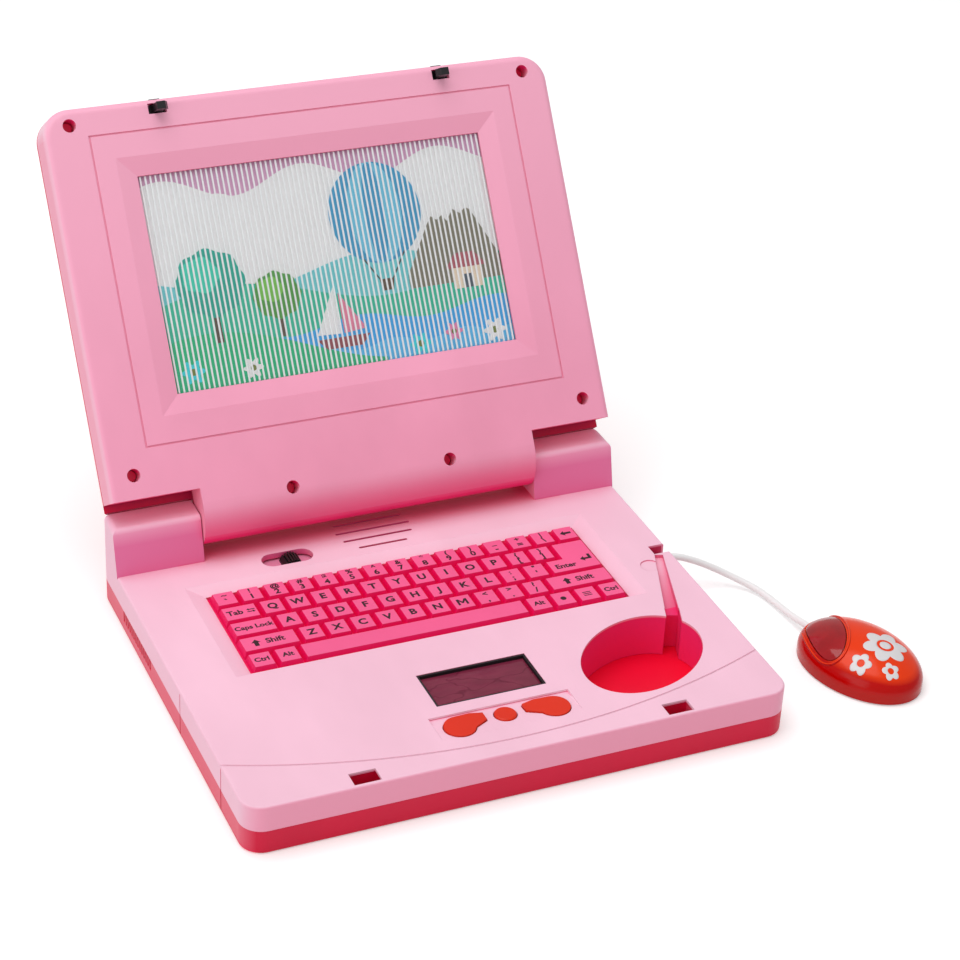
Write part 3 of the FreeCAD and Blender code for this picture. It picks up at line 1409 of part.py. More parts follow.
# lid cover
cover_back = -s.lid_cover_deep
skirt_low = s.lid_foot - s.cover_skirt
lid_cover_plate = lid_plate("lid_cover_plate", skirt_low, cover_back, 0, cover_back.value, s.lid_back_round)
skirt_inside = box("skirt_inside", -lid_half - 1, lid_half + 1, skirt_low - 1, s.lid_foot,
                   cover_back + s.lid_wall, 1)
lid_cover_inside = lid_hollow("lid_cover_inside", cover_back + s.lid_wall, 1)
skirt_rounds = [
    rod("skirt_round_left", -lid_half - 1, -barrel_end, size(0), size(0), s.skirt_clear),
    rod("skirt_round_right", barrel_end, lid_half + 1, size(0), size(0), s.skirt_clear),
]
lid_cover_shell = cut("lid_cover_shell", lid_cover_plate, [lid_cover_inside, skirt_inside] + skirt_rounds)
half_drum = common(
    "half_drum", rod("back_drum", -barrel_end, barrel_end, 0, 0, s.barrel_radius),
    box("back_half", -barrel_end - 1, barrel_end + 1, -s.barrel_radius - 1, s.barrel_radius + 1,
        -s.barrel_radius - 1, 0))
back_web = box("back_web", -barrel_end, barrel_end, 0, s.lid_foot + 1, cover_back, 0)
cover_barrel = cut("cover_barrel", fuse("cover_drum", [half_drum, back_web]), lid_bores("cover"))
cover_bosses = []
cover_pilots = []
for i, (x, y) in enumerate(lid_spots):
    cover_bosses.append(cylinder("cover_boss_%d" % i, x, y, cover_back + s.lid_wall / 2, 0, lid_boss_radius))
    cover_pilots.append(cylinder("cover_pilot_%d" % i, x, y, cover_back + s.lid_wall * 0.6, 1, pilot))
for i, (x, y) in enumerate(barrel_spots):
    cover_bosses.append(cylinder(
        "barrel_boss_%d" % i, x, y, -s.barrel_screw_up, 0, s.head_radius + s.head_gap))
    cover_pilots.append(cylinder("barrel_pilot_%d" % i, x, y, -s.barrel_screw_up + s.pad_thick, 1, pilot))
lid_cover = cut("lid_cover_cut", fuse("lid_cover_solid", [lid_cover_shell, cover_barrel] + cover_bosses),
                cover_pilots)
lid_node(lid_cover, "lid_cover")

# what sits behind the screen opening
ribs = []
rib_count = int(round(s.rib_count.value))
rib_pitch = screen_x * 2 / s.rib_count
for i in range(rib_count):
    x = rib_pitch * (i + 0.5) - screen_x
    ribs.append(box("rib_%d" % i, x - s.rib_wide / 2, x + s.rib_wide / 2, screen_low + s.rib_high,
                    screen_high - s.rib_high, face_under - s.rib_high, face_under + s.rib_high))
lens_sheet = box("lens_sheet", -screen_x - s.sheet_lap, screen_x + s.sheet_lap, screen_low - s.sheet_lap,
                 screen_high + s.sheet_lap, sheet_low, face_under)
lid_node(fuse("ribbed_screen_fuse", [lens_sheet] + ribs), "ribbed_screen")
lid_node(box("picture_card_block", -screen_x - s.sheet_lap, screen_x + s.sheet_lap,
             screen_low - s.sheet_lap, screen_high + s.sheet_lap, card_low, sheet_low), "picture_card")
backing_slab = box("backing_slab", -backing_x, backing_x, screen_low - s.backing_lap,
                   screen_high + s.backing_lap, backing_low, card_low)
backing_holes = [
    cylinder("backing_hole_%d" % i, x, y, backing_low - 1, card_low + 1, s.small_screw + s.fit_gap)
    for i, (x, y) in enumerate(backing_spots)]
lid_node(cut("card_backing_cut", backing_slab, backing_holes), "card_backing")
lid_node(group("screen_screw_set", [
    screw("screen_screw_%d" % i, x, y, backing_low, s.backing_thick + s.boss_radius / 2, False,
          s.small_screw, s.small_head, s.small_head_high)
    for i, (x, y) in enumerate(backing_spots)]), "screen_screws")
corner_screw_long = s.lid_screw_seat + s.lid_cover_deep - s.lid_wall
lid_node(group("lid_screw_set", [
    screw("lid_screw_%d" % i, x, y, s.lid_screw_seat, corner_screw_long, True)
    for i, (x, y) in enumerate(lid_spots + barrel_spots)]), "lid_screws")

# latches with their keepers
keepers = []
for sign, word in ((-1, "left"), (1, "right")):
    x = sign * s.latch_x
    slider = box("slider_" + word, x - s.slider_wide / 2, x + s.slider_wide / 2, slider_base, slider_high,
                 slider_low, slider_top)
    stem = box("stem_" + word, x - s.stem_wide / 2, x + s.stem_wide / 2, latch_up - s.stem_thick / 2,
               latch_up + s.stem_thick / 2, slider_low, face + s.hook_fore)
    inner = sign * (s.latch_x - s.stem_wide / 2)
    tip = sign * (s.latch_x - s.stem_wide / 2 - s.tooth_long)
    low, high = (x, tip) if sign < 0 else (tip, x)
    low_end, high_end = (x, inner) if sign < 0 else (inner, x)
    y0 = latch_up - s.stem_thick / 2
    y1 = latch_up + s.stem_thick / 2
    tooth = frustum("tooth_" + word, (low, high, y0, y1, face + s.tooth_fore),
                    (low_end, high_end, y0, y1, face + s.hook_fore))
    tab = box("tab_" + word, x - s.tab_wide / 2, x + s.tab_wide / 2, slider_high - 1, lid_reach + s.tab_proud,
              slider_low, slider_top)
    lid_node(fuse("latch_%s_fuse" % word, [slider, stem, tooth, tab]), "latch_" + word)
    keepers.append(box("keeper_" + word, x - s.keeper_wide / 2, x + s.keeper_wide / 2, keeper_base, slider_high,
                       keeper_top - s.keeper_thick, keeper_top))
keeper_holes = [
    cylinder("keeper_hole_%d" % i, x, y, keeper_top - s.keeper_thick - 1, keeper_top + 1,
             s.small_screw + s.fit_gap)
    for i, (x, y) in enumerate(keeper_spots)]
lid_node(cut("latch_keepers_cut", fuse("keeper_pair", keepers), keeper_holes), "latch_keepers")
lid_node(group("keeper_screw_set", [
    screw("keeper_screw_%d" % i, x, y, keeper_top - s.keeper_thick, s.keeper_thick + s.boss_radius / 2, False,
          s.small_screw, s.small_head, s.small_head_high)
    for i, (x, y) in enumerate(keeper_spots)]), "keeper_screws")

# mouse
dome_top = s.skirt_high + s.dome_high


def dome(name, inset):
    # elliptical skirt with half an ellipsoid on it
    skirt = oval(name + "_skirt", 0, 0, s.skirt_lift, s.skirt_high,
                 s.mouse_long - inset, s.mouse_half - inset, 0)
    cap = doc.addObject("Part::Ellipsoid", name + "_cap")
    bind(cap, "Radius1", s.dome_high - inset)
    bind(cap, "Radius2", s.mouse_long - inset)
    bind(cap, "Radius3", s.mouse_half - inset)
    cap.Angle1 = 0
    cap.Angle2 = 90
    cap.Angle3 = 360
    put(cap, 0, 0, s.skirt_high)
    return [skirt, cap]


shell_outer = fuse("shell_outer", dome("mouse_outer", size(0)))
shell_inner = fuse("shell_inner", dome("mouse_inner", s.mouse_wall) + [
    oval("mouse_mouth", 0, 0, size(-1), s.skirt_high,
         s.mouse_long - s.mouse_wall, s.mouse_half - s.mouse_wall, 0)])
lens_hole = oval("lens_hole", s.lens_x, s.lens_y, s.lens_base, dome_top + 1,
                 s.lens_long + s.lens_gap, s.lens_half + s.lens_gap, s.lens_turn)
post_x = -s.mouse_long / 2
post = cylinder("mouse_post", post_x, 0, s.plate_thick, dome_top, s.boss_radius + s.frame_wall)
post_limited = common("mouse_post_limited", post, shell_outer)
post_pilot = cylinder("mouse_post_pilot", post_x, 0, s.plate_thick - 1, s.skirt_high + s.dome_high / 2, pilot)
nose = doc.addObject("Part::Cone", "nose_mouth")
bind(nose, "Radius1", s.cord_radius + s.lens_gap)
bind(nose, "Radius2", s.cord_radius * 2)
bind(nose, "Height", s.nose_in * 2)
turn(nose, (0, 1, 0), 90)
put(nose, s.mouse_long - s.nose_in * 1.7, 0, s.cord_at_mouse)
shell_hollow = cut("shell_hollow", shell_outer, [shell_inner])
shell_posted = fuse("shell_posted", [shell_hollow, post_limited])
mouse_node(cut("mouse_shell_cut", shell_posted, [lens_hole, post_pilot, nose]), "mouse_shell")
sole = oval("mouse_sole", 0, 0, size(0), s.plate_thick, s.mouse_long - s.mouse_wall - s.plate_gap,
            s.mouse_half - s.mouse_wall - s.plate_gap, 0)
sole_hole = cylinder("mouse_sole_hole", post_x, 0, -1, s.plate_thick + 1, s.screw_radius + s.head_gap)
sole_sink = cylinder("mouse_sole_sink", post_x, 0, -1, s.plate_thick / 2, s.head_radius + s.head_gap)
standoffs = [
    cylinder("mouse_standoff_%d" % i, s.lens_x / 2, y, s.plate_thick / 2, s.plate_thick + s.mouse_board_lift,
             s.boss_radius / 2)
    for i, y in enumerate((-s.lens_y, s.lens_y))]
mouse_base = cut("mouse_base_cut", fuse("mouse_base_solid", [sole] + standoffs), [sole_hole, sole_sink])
mouse_node(mouse_base, "mouse_base")
mouse_board_low = s.plate_thick + s.mouse_board_lift
mouse_board_top = mouse_board_low + s.mouse_board_thick
mouse_node(box("mouse_board_slab", -s.lens_x / 2, s.lens_x + s.lens_x / 4, -s.lens_y * 1.4, s.lens_y * 1.4,
               mouse_board_low, mouse_board_top), "mouse_board")
stem_low = mouse_board_top + s.boss_radius + s.lens_travel + s.fit_gap
mouse_node(box("mouse_switch_block", s.lens_x / 2 - s.boss_radius, s.lens_x / 2 + s.boss_radius,
               s.lens_y - s.boss_radius, s.lens_y + s.boss_radius, mouse_board_top,
               mouse_board_top + s.boss_radius), "mouse_switch")
mouse_node(cylinder("mouse_lamp_bulb", s.lens_x, 0, mouse_board_top, mouse_board_top + s.boss_radius,
                    s.cord_radius), "mouse_lamp")
lens_low = s.lens_base + s.lens_gap + s.lens_travel
lens_column = oval("lens_column", s.lens_x, s.lens_y, lens_low, dome_top + 1, s.lens_long, s.lens_half,
                   s.lens_turn)
lens_dome = common("lens_dome", shell_outer, lens_column)
lens_inner = fuse("lens_inner", dome("lens_inside", s.mouse_wall))
lens_skin = cut("lens_skin", lens_dome, [lens_inner])
stem_rod = cylinder("lens_stem_rod", s.lens_x / 2, s.lens_y, stem_low, dome_top, s.cord_radius)
lens_stem = common("lens_stem", stem_rod, shell_outer)
mouse_node(fuse("mouse_button_fuse", [lens_skin, lens_stem]), "mouse_button")
mouse_node(screw("mouse_screw_body", post_x, 0, s.plate_thick / 2, s.skirt_high + s.dome_high / 3, False,
                 high=s.frame_wall), "mouse_screw")

# checks and export
doc.recompute()
faults = []
for thing in doc.Objects:
    if "Invalid" in thing.State or "Error" in thing.State:
        faults.append(thing.Name)
for thing in nodes:
    if thing.Shape.isNull() or not thing.Shape.isValid() or not thing.Shape.Solids:
        faults.append(thing.Label)
if faults:
    raise RuntimeError("faults in " + ", ".join(faults))
os.makedirs("parts", exist_ok=True)
for thing in nodes:
    thing.Shape.exportStep("parts/%s.step" % thing.Label)
    print(thing.Label, len(thing.Shape.Solids), round(thing.Shape.Volume / 1000, 2))
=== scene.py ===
import math

import bmesh
import bpy
from mathutils import Matrix, Vector
from mathutils.bvhtree import BVHTree


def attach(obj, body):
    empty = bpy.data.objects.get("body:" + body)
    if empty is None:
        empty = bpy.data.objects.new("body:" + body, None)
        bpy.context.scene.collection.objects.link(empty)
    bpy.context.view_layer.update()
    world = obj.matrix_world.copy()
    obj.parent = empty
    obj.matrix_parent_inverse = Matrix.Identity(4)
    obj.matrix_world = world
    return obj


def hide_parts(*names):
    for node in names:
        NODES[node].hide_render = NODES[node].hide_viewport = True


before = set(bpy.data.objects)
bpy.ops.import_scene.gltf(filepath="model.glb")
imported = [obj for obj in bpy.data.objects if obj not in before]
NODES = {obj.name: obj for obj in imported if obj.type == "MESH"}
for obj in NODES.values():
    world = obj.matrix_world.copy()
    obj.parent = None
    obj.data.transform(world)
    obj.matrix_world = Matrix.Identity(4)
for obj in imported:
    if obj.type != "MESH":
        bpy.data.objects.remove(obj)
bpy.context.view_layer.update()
MM = 0.001
WHITE = (1.0, 1.0, 1.0, 1.0)

# the photograph's viewpoint, solved from points on the base, the lid and the screen
SENSOR_MM = 36
FOCAL_MM = 96.83
CLIP_NEAR, CLIP_FAR = 0.05, 40
CAMERA_PLACE = (-0.35317, -0.80258, 0.61296)
CAMERA_RIGHT = (0.918289, -0.393334, 0.045097)
CAMERA_UP = (0.167042, 0.488192, 0.856601)
CAMERA_AHEAD = (0.358946, 0.779075, -0.514004)

# the lid's own frame is across, up the lid and out of its face; the mouse's is nose, left and up
HINGE_Y = 81.4
HINGE_Z = 35.8
LID_LEAN = math.radians(56)
MOUSE_X = 164.5
MOUSE_Y = -65
MOUSE_HEADING = math.radians(108)
LID = Matrix.Translation((0, HINGE_Y * MM, HINGE_Z * MM)) @ Matrix.Rotation(LID_LEAN, 4, "X")
MOUSE = (Matrix.Translation((MOUSE_X * MM, MOUSE_Y * MM, 0))
         @ Matrix.Rotation(MOUSE_HEADING, 4, "Z"))

# the screen's opening in the lid's frame, its ribs and the card behind it, in millimetres
SCREEN_X = 77.15
SCREEN_LOW = 52.5
SCREEN_HIGH = 144.7
RIBS = 70
RIB_PITCH = 2 * SCREEN_X / RIBS
CARD_TOP = 9.6


def link(made):
    bpy.context.scene.collection.objects.link(made)
    return made


def make_camera():
    data = bpy.data.cameras.new("camera")
    data.sensor_width = SENSOR_MM
    data.lens = FOCAL_MM
    data.clip_start = CLIP_NEAR
    data.clip_end = CLIP_FAR
    back = -Vector(CAMERA_AHEAD)
    turn = Matrix((CAMERA_RIGHT, CAMERA_UP, back)).transposed().to_4x4()
    camera = link(bpy.data.objects.new("camera", data))
    camera.matrix_world = Matrix.Translation(CAMERA_PLACE) @ turn
    bpy.context.scene.camera = camera


# ---- looks ----

# colours that the materials below mix, as screen values; many of them are painted light and shade
PAINTS = {
    "key_gap": "F00460",
    "deck_left_light": "F4BED2",
    "deck_front_shade": "FBA3BE",
    "deck_corner_shade": "EE4A80",
    "deck_under_shadow": "EE285C",
    "hump_foot_shade": "EE78A8",
    "hump_head_shade": "FBA2C4",
    "hump_top": "FFC2DA",
    "groove": "FFDAE8",
    "well_wall": "F42E76",
    "well_floor_light": "F40034",
    "channel": "EA3C7C",
    "notch": "CC1450",
    "slot_wall_light": "FFA8C8",
    "slot_floor_light": "FF1458",
    "lid_high_light": "FBB0CA",
    "lid_left_light": "F8CCDC",
    "lid_corner": "EE6E9C",
    "barrel_below_shade": "F52C78",
    "knob_foot": "EE8FB2",
    "case_left_reflection": "E4506A",
    "case_hollow_shade": "D80034",
    "hinge_seam_shade": "B80A4A",
    "mouse_flank_shade": "C00200",
    "mouse_skirt_light": "BE1006",
    "rib_bright": "F4F6F7",
    "rib_dull": "E3E8EA",
    "window_dark": "70223A",
    "window_pale": "8E344C",
    "window_streak": "5E0C2A",
    "lens_dark": "8C0612",
    "lens_pale": "C01A22",
}
NOISE_RANGE = (0.3, 0.7)    # what a noise's values mostly fill
EDGE_FADE = 0.1             # how softly a mask of places ends, in millimetres
AO_SAMPLES = 8
BEVEL_SAMPLES = 4
MIX_A, MIX_B, MIX_OUT = 6, 7, 2    # a Mix node's colour sockets


def colour(text, scale=1.0):
    # a screen value (sRGB) as a linear colour
    out = []
    for i in (0, 2, 4):
        v = int(text[i:i + 2], 16) / 255
        v = v / 12.92 if v <= 0.04045 else ((v + 0.055) / 1.055) ** 2.4
        out.append(min(v * scale, 1.0))
    return (*out, 1.0)


def paint(name):
    return colour(PAINTS[name])


def toned(base, by):
    # a colour made darker or lighter
    return (*(min(v * by, 1.0) for v in base[:3]), 1.0)


class Look:
    # a material with its node tree and short ways to add nodes
    def __init__(self, name):
        self.material = bpy.data.materials.new(name)
        self.material.use_nodes = True
        self.tree = self.material.node_tree
        self.shader = self.tree.nodes["Principled BSDF"]
        self.object_space = self.node("ShaderNodeTexCoord").outputs["Object"]

    def node(self, kind, **settings):
        made = self.tree.nodes.new(kind)
        for key, value in settings.items():
            setattr(made, key, value)
        return made

    def join(self, source, target):
        self.tree.links.new(source, target)

    def feed(self, name, source):
        # links a value to one of the shader's own sockets
        self.join(source, self.shader.inputs[name])

    def set(self, **values):
        # sets constants on the shader's own sockets
        for key, value in values.items():
            self.shader.inputs[key.replace("_", " ")].default_value = value
        return self

    def noise(self, size_mm, detail=2.0, stretch=None):
        made = self.node("ShaderNodeTexNoise")
        made.inputs["Scale"].default_value = 1 / (size_mm * MM)
        made.inputs["Detail"].default_value = detail
        if stretch is None:
            self.join(self.object_space, made.inputs["Vector"])
        else:
            mapping = self.node("ShaderNodeMapping")
            mapping.inputs["Scale"].default_value = stretch
            self.join(self.object_space, mapping.inputs["Vector"])
            self.join(mapping.outputs["Vector"], made.inputs["Vector"])
        return made.outputs["Fac"]

    def math(self, kind, a, b=None):
        made = self.node("ShaderNodeMath", operation=kind)
        for socket, value in zip(made.inputs, (a, b)):
            if value is None:
                continue
            if isinstance(value, (int, float)):
                socket.default_value = value
            else:
                self.join(value, socket)
        return made.outputs["Value"]

    def both(self, first, *others):
        # where all of several masks hold
        for other in others:
            first = self.math("MULTIPLY", first, other)
        return first

    def ramp(self, source, low, high, first, last):
        # goes from first at low to last at high, and stays there beyond
        made = self.node("ShaderNodeMapRange")
        self.join(source, made.inputs["Value"])
        made.inputs["From Min"].default_value = low
        made.inputs["From Max"].default_value = high
        made.inputs["To Min"].default_value = first
        made.inputs["To Max"].default_value = last
        return made.outputs["Result"]

    def rise(self, source, span, unit=1.0):
        # 0 at the span's first value, 1 at its second
        return self.ramp(source, span[0] * unit, span[1] * unit, 0.0, 1.0)

    def fall(self, source, span, unit=1.0):
        # 1 at the span's first value, 0 at its second
        return self.ramp(source, span[0] * unit, span[1] * unit, 1.0, 0.0)

    def within(self, source, span_mm):
        # 1 between two places, 0 outside
        low, high = span_mm
        return self.both(self.rise(source, (low - EDGE_FADE, low), MM),
                         self.fall(source, (high, high + EDGE_FADE), MM))

    def spread(self, noise, first, last):
        # a noise brought between two values
        return self.ramp(noise, *NOISE_RANGE, first, last)

    def mix(self, factor, a, b):
        made = self.node("ShaderNodeMix", data_type="RGBA")
        self.join(factor, made.inputs["Factor"])
        for place, value in ((MIX_A, a), (MIX_B, b)):
            if isinstance(value, tuple):
                made.inputs[place].default_value = value
            else:
                self.join(value, made.inputs[place])
        return made.outputs[MIX_OUT]

    def axes(self, source=None):
        made = self.node("ShaderNodeSeparateXYZ")
        self.join(source or self.object_space, made.inputs["Vector"])
        return made.outputs["X"], made.outputs["Y"], made.outputs["Z"]

    def facing(self):
        # the surface's own direction, in the part's frame
        return self.axes(self.node("ShaderNodeTexCoord").outputs["Normal"])

    def hollow(self, reach_mm):
        # 0 on open surfaces, up to 1 deep in corners and holes
        made = self.node("ShaderNodeAmbientOcclusion", samples=AO_SAMPLES)
        made.inputs["Distance"].default_value = reach_mm * MM
        return self.math("SUBTRACT", 1.0, made.outputs["AO"])

    def bump(self, height, strength, distance_mm, edge_mm=0.0):
        # a fine relief, and edges softened by a small radius
        made = self.node("ShaderNodeBump")
        made.inputs["Strength"].default_value = strength
        made.inputs["Distance"].default_value = distance_mm * MM
        self.join(height, made.inputs["Height"])
        if edge_mm:
            soft = self.node("ShaderNodeBevel", samples=BEVEL_SAMPLES)
            soft.inputs["Radius"].default_value = edge_mm * MM
            self.join(soft.outputs["Normal"], made.inputs["Normal"])
        self.feed("Normal", made.outputs["Normal"])


FLOW_SIZE = 38
FLOW_STRETCH = (1.0, 0.45, 0.8)
FLOW_GLOSS = 0.04
GRAIN_GLOSS = 0.03
GRAIN_HEIGHT = 0.05


def moulded(name, base, rough=0.42, grain=0.45, depth=0.25, mottle=0.05, edge=0.3, tint=None,
            **extra):
    # moulded plastic: spark-eroded grain, faint flow marks and slightly uneven gloss
    look = Look(name)
    flow = look.noise(FLOW_SIZE, detail=3.0, stretch=FLOW_STRETCH)
    fine = look.noise(grain)
    body = look.mix(look.spread(flow, 0.0, 1.0), toned(base, 1 - mottle), toned(base, 1 + mottle))
    if tint is not None:
        body = tint(look, body)
    look.feed("Base Color", body)
    gloss = look.math("ADD", look.spread(flow, rough - FLOW_GLOSS, rough + FLOW_GLOSS),
                      look.spread(fine, -GRAIN_GLOSS, GRAIN_GLOSS))
    look.feed("Roughness", gloss)
    look.bump(fine, depth, GRAIN_HEIGHT, edge)
    return look.set(**extra)


# Values for the tints. Names in X, Y, Z and RADIUS are ranges of places in millimetres, names in
# REACH say how far hollow() looks, names in SHADE are ranges of what it gives, names in DEPTH are
# shares of a tint, and the others are ranges of the surface's direction.
LEFTWARD = (-0.95, -0.5)
KEY_GAP_Z = (20.9, 21.5)
KEY_FLANK = (0.75, 0.95)

DECK_REACH = 16
DECK_LEFT = (-0.95, -0.4)
DECK_FRONT = (-0.95, -0.25)
DECK_TOP_Z = (21.2, 22)
CORNER_SHADE = (0.15, 0.8)
CORNER_DEPTH = 0.8
HUMP_Y = (60, 66)
HUMP_FRONT_Z = (34, 40)
HUMP_TOP = (0.3, 0.9)
HUMP_TOP_Z = (24, 27)
GROOVE_Y = (-56, -55)
GROOVE_Z = (20.8, 21.4)
GROOVE_SHADE = (0.2, 0.4)
SUNK_Z = (20.9, 20.3)
WELL_X = (34, 104)
WELL_Y = (-84, -22)
CHANNEL_X = (91, 113)
CHANNEL_Y = (-22, 12.6)
CHANNEL_FADE_Y = (8, -24)
CHANNEL_DEPTH = (0.08, 0.75)
NOTCH_Y = (12.8, 20)
SLOT_Y = (-94, -85)
SLOT_SHADE = (0.3, 0.4)
BARREL_X = (-88, 88)
BARREL_FRONT_Y = (68, 81)
BARREL_BACK_Y = (84, 90)

LID_REACH = 10
LID_FADE_Z = (60, 185)
LID_SHADE = (0.35, 0.95)
LID_DEPTH = 0.35
LID_BELOW = (0.42, -0.5)

KNOB_FOOT_Z = (18.05, 18.15)
MOUSE_FLANK = (0.62, 0.8)
MOUSE_SKIRT_Z = (4.6, 5.6)

CASE_REACH = 6
CASE_SHADE = (0.3, 0.75)
SLOT_FLOOR_Y = (-93.6, -85.6)
SLOT_FLOOR_SHADE = (0.35, 0.6)
WELL_FLOOR = (0.5, 0.9)
WELL_FLOOR_Z = (6, 9)
SEAM_REACH = 12
SEAM_RADIUS = (13, 16)
SEAM_SHADE = (0.3, 0.6)


def keys_tint(look, body):
    # soft rubbery plastic, with painted shade deeper between the keys and on their flanks
    low = look.fall(look.axes()[2], KEY_GAP_Z, MM)
    flank = look.fall(look.facing()[2], KEY_FLANK)
    return look.mix(look.math("MAXIMUM", low, flank), body, paint("key_gap"))


def deck_tint(look, body):
    # translucent pink with painted light and shade: paler on left faces, richer on front faces,
    # richest in the well, the holes and the corners
    x, y, z = look.axes()
    left, ahead, up = look.facing()
    shade = look.hollow(DECK_REACH)
    front = look.fall(ahead, DECK_FRONT)
    body = look.mix(look.fall(left, DECK_LEFT), body, paint("deck_left_light"))
    body = look.mix(front, body, paint("deck_front_shade"))
    # painted shade on the hinge humps' fronts, deeper at their feet, and painted light that keeps
    # the thin grooves and the hump tops pale
    hump_front = look.mix(look.rise(z, HUMP_FRONT_Z, MM), paint("hump_foot_shade"), paint("hump_head_shade"))
    body = look.mix(look.both(front, look.rise(y, HUMP_Y, MM)), body, hump_front)
    hump_top = look.both(look.rise(z, HUMP_TOP_Z, MM), look.rise(up, HUMP_TOP))
    groove = look.both(look.within(z, GROOVE_Z), look.fall(y, GROOVE_Y, MM))
    elsewhere = look.math("SUBTRACT", 1.0, look.math("MAXIMUM", hump_top, groove))
    corner = look.ramp(shade, *CORNER_SHADE, 0.0, CORNER_DEPTH)
    body = look.mix(look.both(corner, elsewhere), body, paint("deck_corner_shade"))
    body = look.mix(hump_top, body, paint("hump_top"))
    body = look.mix(look.both(groove, look.rise(shade, GROOVE_SHADE)), body, paint("groove"))
    # painted shade on the walls of the well and of the cord's channel and notch, deeper towards
    # the well, and painted light on the latch slots' walls
    sunk = look.rise(z, SUNK_Z, MM)
    well = look.both(sunk, look.within(x, WELL_X), look.within(y, WELL_Y))
    body = look.mix(well, body, paint("well_wall"))
    beside = look.both(sunk, look.within(x, CHANNEL_X))
    channel_fade = look.ramp(y, *(v * MM for v in CHANNEL_FADE_Y), *CHANNEL_DEPTH)
    channel = look.both(beside, look.within(y, CHANNEL_Y), channel_fade)
    body = look.mix(channel, body, paint("channel"))
    body = look.mix(look.both(beside, look.within(y, NOTCH_Y)), body, paint("notch"))
    slot = look.both(sunk, look.rise(shade, SLOT_SHADE), look.within(y, SLOT_Y))
    body = look.mix(slot, body, paint("slot_wall_light"))
    # painted shadow on the deck under the lid's barrel
    under = look.both(look.within(z, DECK_TOP_Z), look.within(x, BARREL_X),
                      look.rise(y, BARREL_FRONT_Y, MM), look.fall(y, BARREL_BACK_Y, MM))
    return look.mix(under, body, paint("deck_under_shadow"))


def bezel_tint(look, body):
    # painted light and shade: paler towards the top and on left faces, deeper in corners and on
    # the barrel's underside
    left, _, up = look.facing()
    body = look.mix(look.rise(look.axes()[2], LID_FADE_Z, MM), body, paint("lid_high_light"))
    body = look.mix(look.fall(left, LEFTWARD), body, paint("lid_left_light"))
    corner = look.ramp(look.hollow(LID_REACH), *LID_SHADE, 0.0, LID_DEPTH)
    body = look.mix(corner, body, paint("lid_corner"))
    return look.mix(look.rise(up, LID_BELOW), body, paint("barrel_below_shade"))


def knob_tint(look, body):
    # the knob's foot, which closes the slot, is pink
    return look.mix(look.fall(look.axes()[2], KNOB_FOOT_Z, MM), body, paint("knob_foot"))


def mouse_tint(look, body):
    # painted light and shade: the base colour is the crown's lit orange-red, with painted deep
    # red shade on the flank and painted bounce light that pales the skirt
    flank = look.fall(look.facing()[2], MOUSE_FLANK)
    skirt = look.fall(look.axes()[2], MOUSE_SKIRT_Z, MM)
    return look.mix(skirt, look.mix(flank, body, paint("mouse_flank_shade")), paint("mouse_skirt_light"))


def crimson_tint(look, body):
    # painted light and shade: a painted reflection pales the left flank, painted shade deepens
    # the case where it is hollow, painted light brightens the floor of well and slots
    _, y, z = look.axes()
    left, _, up = look.facing()
    body = look.mix(look.fall(left, LEFTWARD), body, paint("case_left_reflection"))
    hollow = look.rise(look.hollow(CASE_REACH), CASE_SHADE)
    body = look.mix(hollow, body, paint("case_hollow_shade"))
    slot = look.both(look.within(y, SLOT_FLOOR_Y),
                     look.rise(look.hollow(CASE_REACH), SLOT_FLOOR_SHADE))
    body = look.mix(slot, body, paint("slot_floor_light"))
    floor = look.both(look.rise(up, WELL_FLOOR), look.fall(z, WELL_FLOOR_Z, MM))
    body = look.mix(floor, body, paint("well_floor_light"))
    # painted shade in the narrow space between lid and humps, found by its distance from the
    # hinge's axis
    off_y = look.math("POWER", look.math("SUBTRACT", y, HINGE_Y * MM), 2.0)
    off_z = look.math("POWER", look.math("SUBTRACT", z, HINGE_Z * MM), 2.0)
    radius = look.math("SQRT", look.math("ADD", off_y, off_z))
    seam = look.both(look.fall(radius, SEAM_RADIUS, MM),
                     look.rise(look.hollow(SEAM_REACH), SEAM_SHADE))
    return look.mix(seam, body, paint("hinge_seam_shade"))


STREAK_TONE = 0.8
STREAK_GLOSS = (-0.06, 0.08)


def brushed_metal(name, base, rough=0.3):
    # metal with fine streaks along one direction
    look = Look(name)
    streak = look.noise(size_mm=1.2, stretch=(1.0, 6.0, 1.0))
    look.feed("Base Color", look.mix(streak, base, toned(base, STREAK_TONE)))
    look.feed("Roughness", look.spread(streak, *(rough + v for v in STREAK_GLOSS)))
    look.bump(streak, strength=0.1, distance_mm=0.02)
    return look.set(Metallic=1.0)


RIB_HALF = (0.16, 0.20)      # a white stripe's half width, as a share of the rib pitch
RIB_ALPHA = (0.04, 0.92)     # between the ribs and on them
RIB_GLOSS = (0.18, 0.3)


def ribbed(name):
    # clear sheet with a white stripe along each rib
    look = Look(name)
    along = look.math("ADD", look.axes()[0], SCREEN_X * MM)
    share = look.math("FRACT", look.math("DIVIDE", along, RIB_PITCH * MM))
    off = look.math("ABSOLUTE", look.math("SUBTRACT", share, 0.5))
    fine = look.noise(size_mm=3.0)
    look.feed("Base Color", look.mix(fine, paint("rib_bright"), paint("rib_dull")))
    look.feed("Roughness", look.spread(fine, *RIB_GLOSS))
    look.feed("Alpha", look.ramp(look.fall(off, RIB_HALF), 0.0, 1.0, *RIB_ALPHA))
    return look


INK_FADE = (0.86, 0.86, 0.86, 1.0)
INK_GLOSS = 0.05


